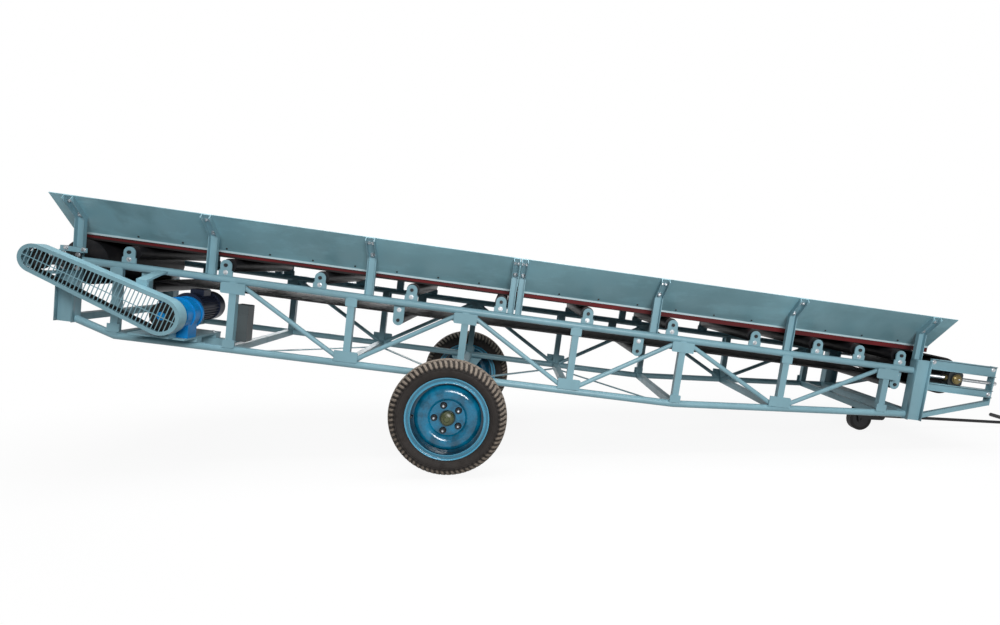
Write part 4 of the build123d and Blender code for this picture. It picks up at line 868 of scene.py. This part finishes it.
class CONVEYOR_OT_channel_lips(bpy.types.Operator):
    """Turn out the edges of the end posts and of the take-up rails"""

    bl_idname = "conveyor.channel_lips"
    bl_label = "Channel lips"

    sunk = 0.001

    def execute(self, context):
        sizes = context.scene.conveyor_sizes
        sheet, post_lip, rail_lip = sizes.lip_sheet, sizes.post_lip, sizes.rail_lip
        edge = (POST_WEB - sheet) / 2
        posts = ((HEAD_POST, HEAD_FOOT, HEAD_LIP_TOPS), (TAIL_POST, TAIL_FOOT, TAIL_LIP_TOPS))
        along, up = deck_direction(1, 0, 0), deck_direction(0, 0, 1)
        shapes = []
        for side in SIDES.values():
            v = side * (POST_OUT + post_lip / 2 - self.sunk)
            for middle, low, tops in posts:
                for u, high in zip((middle - edge, middle + edge), tops):
                    shapes.append(bar_shape(on_deck(u, v, low), on_deck(u, v, high), along, sheet, post_lip))
            v = side * (POST_OUT + rail_lip / 2 - self.sunk)
            for top, bottom in RAILS:
                for w in (top - sheet / 2, bottom + sheet / 2):
                    start, end = (on_deck(u, v, w) for u in TAKE_UP_RUN)
                    shapes.append(bar_shape(start, end, up, sheet, rail_lip))
        make_piece("channel_lips", joined(*shapes), "frame_paint", "frame", smooth=True)
        return {"FINISHED"}


class CONVEYOR_OT_take_up_fittings(bpy.types.Operator):
    """Cap the tail bearings and run the take-up screws on to the tail posts"""

    bl_idname = "conveyor.take_up_fittings"
    bl_label = "Take-up fittings"

    rod_radius, rod_pitch, nut_back, cap_steps = 0.011, 0.003, 0.017, 32
    cap_rows = (
        (0.031, -0.002), (0.031, 0.004), (0.027, 0.005), (0.0265, 0.011), (0.019, 0.0165),
    )
    nipple_rows = ((0.0045, 0.016), (0.0045, 0.022), (0.003, 0.023), (0.0035, 0.027))
    nut_rows = ((0.019, 0.0), (0.019, 0.013), (0.0165, 0.0155))

    def execute(self, context):
        cap = lathe_shape(self.cap_rows, self.cap_steps, tip=0.002)
        nipple = lathe_shape(self.nipple_rows, SMALL_STEPS, tip=0.001)
        nut = lathe_shape(self.nut_rows, SMALL_STEPS, hexagon)
        start, end = TAKE_UP_RUN[0], TAIL_SHAFT[0] - BLOCK_HALF
        rod = thread_shape(self.rod_radius, end - start, self.rod_pitch)
        along = deck_direction(1, 0, 0)
        caps, rods = [], []
        for side in SIDES.values():
            seat = on_deck(TAIL_SHAFT[0], side * BLOCK_OUT, TAIL_SHAFT[1])
            rod_start = on_deck(start, side * SCREW_V, TAIL_SHAFT[1])
            nut_start = on_deck(end - self.nut_back, side * SCREW_V, TAIL_SHAFT[1])
            caps += [placed(cap, seat, (0, side, 0)), placed(nut, nut_start, along)]
            rods += [placed(nipple, seat, (0, side, 0)), placed(rod, rod_start, along)]
        make_piece("take_up_caps", joined(*caps), "brass", "frame")
        make_piece("take_up_rods", joined(*rods), "zinc", "frame")
        return {"FINISHED"}


class CONVEYOR_OT_wheel_fittings(bpy.types.Operator):
    """Fit the wheel nuts' collars, the stud ends and the tyre valves"""

    bl_idname = "conveyor.wheel_fittings"
    bl_label = "Wheel fittings"

    collar_steps = 20
    collar_rows = ((0.0195, 0.0), (0.0195, 0.002), (0.0150, 0.0075))
    stud_rows = ((0.0068, -0.001), (0.0068, 0.005), (0.0048, 0.008))
    valve_rows = (
        (0.0075, 0.0), (0.0065, 0.010), (0.0042, 0.014), (0.0042, 0.028), (0.0052, 0.029), (0.0052, 0.040),
    )

    def execute(self, context):
        collar = lathe_shape(self.collar_rows, self.collar_steps)
        stud = lathe_shape(self.stud_rows, SMALL_STEPS, tip=0.0005)
        valve = lathe_shape(self.valve_rows, SMALL_STEPS, tip=0.002)
        turn = NUT_PHASE + np.arange(NUT_COUNT) * 2 * math.pi / NUT_COUNT
        valve_spot = VALVE_CIRCLE * np.array([math.cos(VALVE_TURN), 0.0, math.sin(VALVE_TURN)])
        for name, side in SIDES.items():
            outward = np.array([0.0, side, 0.0])
            centre = wheel_centre(side)
            nuts = centre + NUT_CIRCLE * np.stack([np.cos(turn), 0 * turn, -side * np.sin(turn)], axis=-1)
            studs = placed(stud, nuts + outward * NUT_TOP, outward)
            collars = placed(collar, nuts + outward * NUT_FOOT, outward)
            stem = placed(valve, centre + valve_spot + outward * VALVE_FOOT, outward)
            body = f"{name}_wheel"
            make_piece(f"{name}_stud_ends", studs, "zinc", body)
            make_piece(f"{name}_collars_valve", joined(collars, stem), "dark_bolt", body)
        return {"FINISHED"}


class CONVEYOR_OT_studio(bpy.types.Operator):
    """Set up the pale floor, the soft light and the camera"""

    bl_idname = "conveyor.studio"
    bl_label = "Studio"

    floor_radius, floor_drop, floor_steps = 60.0, 0.0015, 64
    mirror_sky = 0.45
    camera_place = (AXLE[0] + 0.3445, -4.074, 1.149)
    camera_aim = (0.0731, 0.9912, -0.1101)
    camera_shift = (-0.053, 0.0235)

    def execute(self, context):
        stage = context.scene.conveyor_stage
        self.make_floor()
        self.make_world(stage)
        self.make_lights(stage)
        self.make_camera(stage)
        context.scene.view_settings.view_transform = "Standard"
        return {"FINISHED"}

    def make_floor(self):
        """Round floor under the machine, white to the camera save for the shadow."""
        turn = np.arange(self.floor_steps) * 2 * math.pi / self.floor_steps
        height = np.full(self.floor_steps, -self.floor_drop)
        edge = np.stack([self.floor_radius * np.cos(turn), self.floor_radius * np.sin(turn), height], axis=-1)
        mesh = bpy.data.meshes.new("floor")
        mesh.from_pydata(edge.tolist(), [], [range(self.floor_steps)])
        floor = bpy.data.objects.new("floor", mesh)
        bpy.context.scene.collection.objects.link(floor)
        paper = Finish("floor_paper", Roughness=0.9, Specular_IOR_Level=0.0)
        seen = paper.ray("Camera").largest(paper.ray("Glossy")).largest(paper.ray("Transmission"))
        tone = paper.mix(paper.noise(0.7, 3.0), (0.19, 0.19, 0.19), (0.21, 0.21, 0.21))
        tone = paper.mix(seen, tone, (0.85, 0.85, 0.85))
        paper.feed(paper.shader.inputs["Base Color"], tone)
        white = paper.add("ShaderNodeEmission", {}, {"Color": (1.0, 1.0, 1.0, 1.0), "Strength": 1.0})
        body = Field(paper, paper.shader.outputs[0])
        x, y = paper.axis("X"), paper.axis("Y")
        away = ((x * x + y * y * 4.0) ** 0.5).step(2.6, 5.2)
        both = paper.add("ShaderNodeMixShader", {}, {0: seen * (0.91 + away * 0.09), 1: body, 2: white})
        paper.feed(paper.tree.nodes["Material Output"].inputs["Surface"], both)
        mesh.materials.append(paper.material)

    def make_world(self, stage):
        """Even light, with plain white where the camera looks past the floor, and less in a mirror."""
        world = bpy.data.worlds.new("studio")
        world.use_nodes = True
        bpy.context.scene.world = world
        nodes = Nodes(world.node_tree)
        background = world.node_tree.nodes["Background"]
        nodes.feed(background.inputs["Color"], (1.0, 1.0, 1.0, 1.0))
        seen = nodes.ray("Camera").largest(nodes.ray("Transmission"))
        mirrored = nodes.ray("Glossy") * (self.mirror_sky - stage.sky)
        nodes.feed(background.inputs["Strength"], stage.sky + seen * (1.0 - stage.sky) + mirrored)

    def make_lights(self, stage):
        """Soft panels: a key behind the camera, one above along the machine and a weaker one at the back."""
        for name, power, place, target, width, height in (
            ("key", stage.key, (0.4, -6.6, 2.8), (-0.3, 0.0, 0.8), 3.4, 1.4),
            ("top", stage.top, (0.0, -0.6, 4.6), (0.0, 0.0, 0.8), 7.0, 2.4),
            ("back", 0.4 * stage.key, (-2.6, 4.8, 3.2), (0.0, 0.0, 0.7), 3.0, 2.0),
        ):
            data = bpy.data.lights.new(name, "AREA")
            data.shape = "RECTANGLE"
            data.size, data.size_y = width, height
            data.energy = power
            lamp = bpy.data.objects.new(name, data)
            lamp.location = place
            lamp.rotation_euler = (Vector(target) - Vector(place)).to_track_quat("-Z", "Y").to_euler()
            bpy.context.scene.collection.objects.link(lamp)

    def make_camera(self, stage):
        """Camera at the height of the belt, left of the middle, as the machine is seen."""
        data = bpy.data.cameras.new("camera")
        data.lens = stage.lens
        data.sensor_width = 36.0
        data.shift_x, data.shift_y = self.camera_shift
        camera = bpy.data.objects.new("camera", data)
        camera.location = self.camera_place
        camera.rotation_euler = Vector(self.camera_aim).to_track_quat("-Z", "Y").to_euler()
        bpy.context.scene.collection.objects.link(camera)
        bpy.context.scene.camera = camera


OPERATORS = (
    CONVEYOR_OT_finishes,
    CONVEYOR_OT_road_tyres,
    CONVEYOR_OT_board_bolts,
    CONVEYOR_OT_roller_bolts,
    CONVEYOR_OT_bearing_bolts,
    CONVEYOR_OT_drive_bolts,
    CONVEYOR_OT_channel_lips,
    CONVEYOR_OT_take_up_fittings,
    CONVEYOR_OT_wheel_fittings,
    CONVEYOR_OT_studio,
)


class CONVEYOR_PT_looks(bpy.types.Panel):
    """Sidebar panel that lists the steps and the settings"""

    bl_label = "Conveyor looks"
    bl_space_type = "VIEW_3D"
    bl_region_type = "UI"
    bl_category = "Conveyor"

    def draw(self, context):
        for name, kind in GROUPS.items():
            for key in kind.__annotations__:
                self.layout.prop(getattr(context.scene, name), key)
        for operator in OPERATORS:
            self.layout.operator(operator.bl_idname)


CLASSES = (*GROUPS.values(), *OPERATORS, CONVEYOR_PT_looks)


def register():
    for item in CLASSES:
        bpy.utils.register_class(item)
    for name, kind in GROUPS.items():
        setattr(bpy.types.Scene, name, PointerProperty(type=kind))


def unregister():
    for name in GROUPS:
        delattr(bpy.types.Scene, name)
    for item in reversed(CLASSES):
        bpy.utils.unregister_class(item)


def main():
    register()
    for operator in OPERATORS:
        group, name = operator.bl_idname.split(".")
        getattr(getattr(bpy.ops, group), name)()
    bpy.context.view_layer.update()


if __name__ == "__main__":
    main()
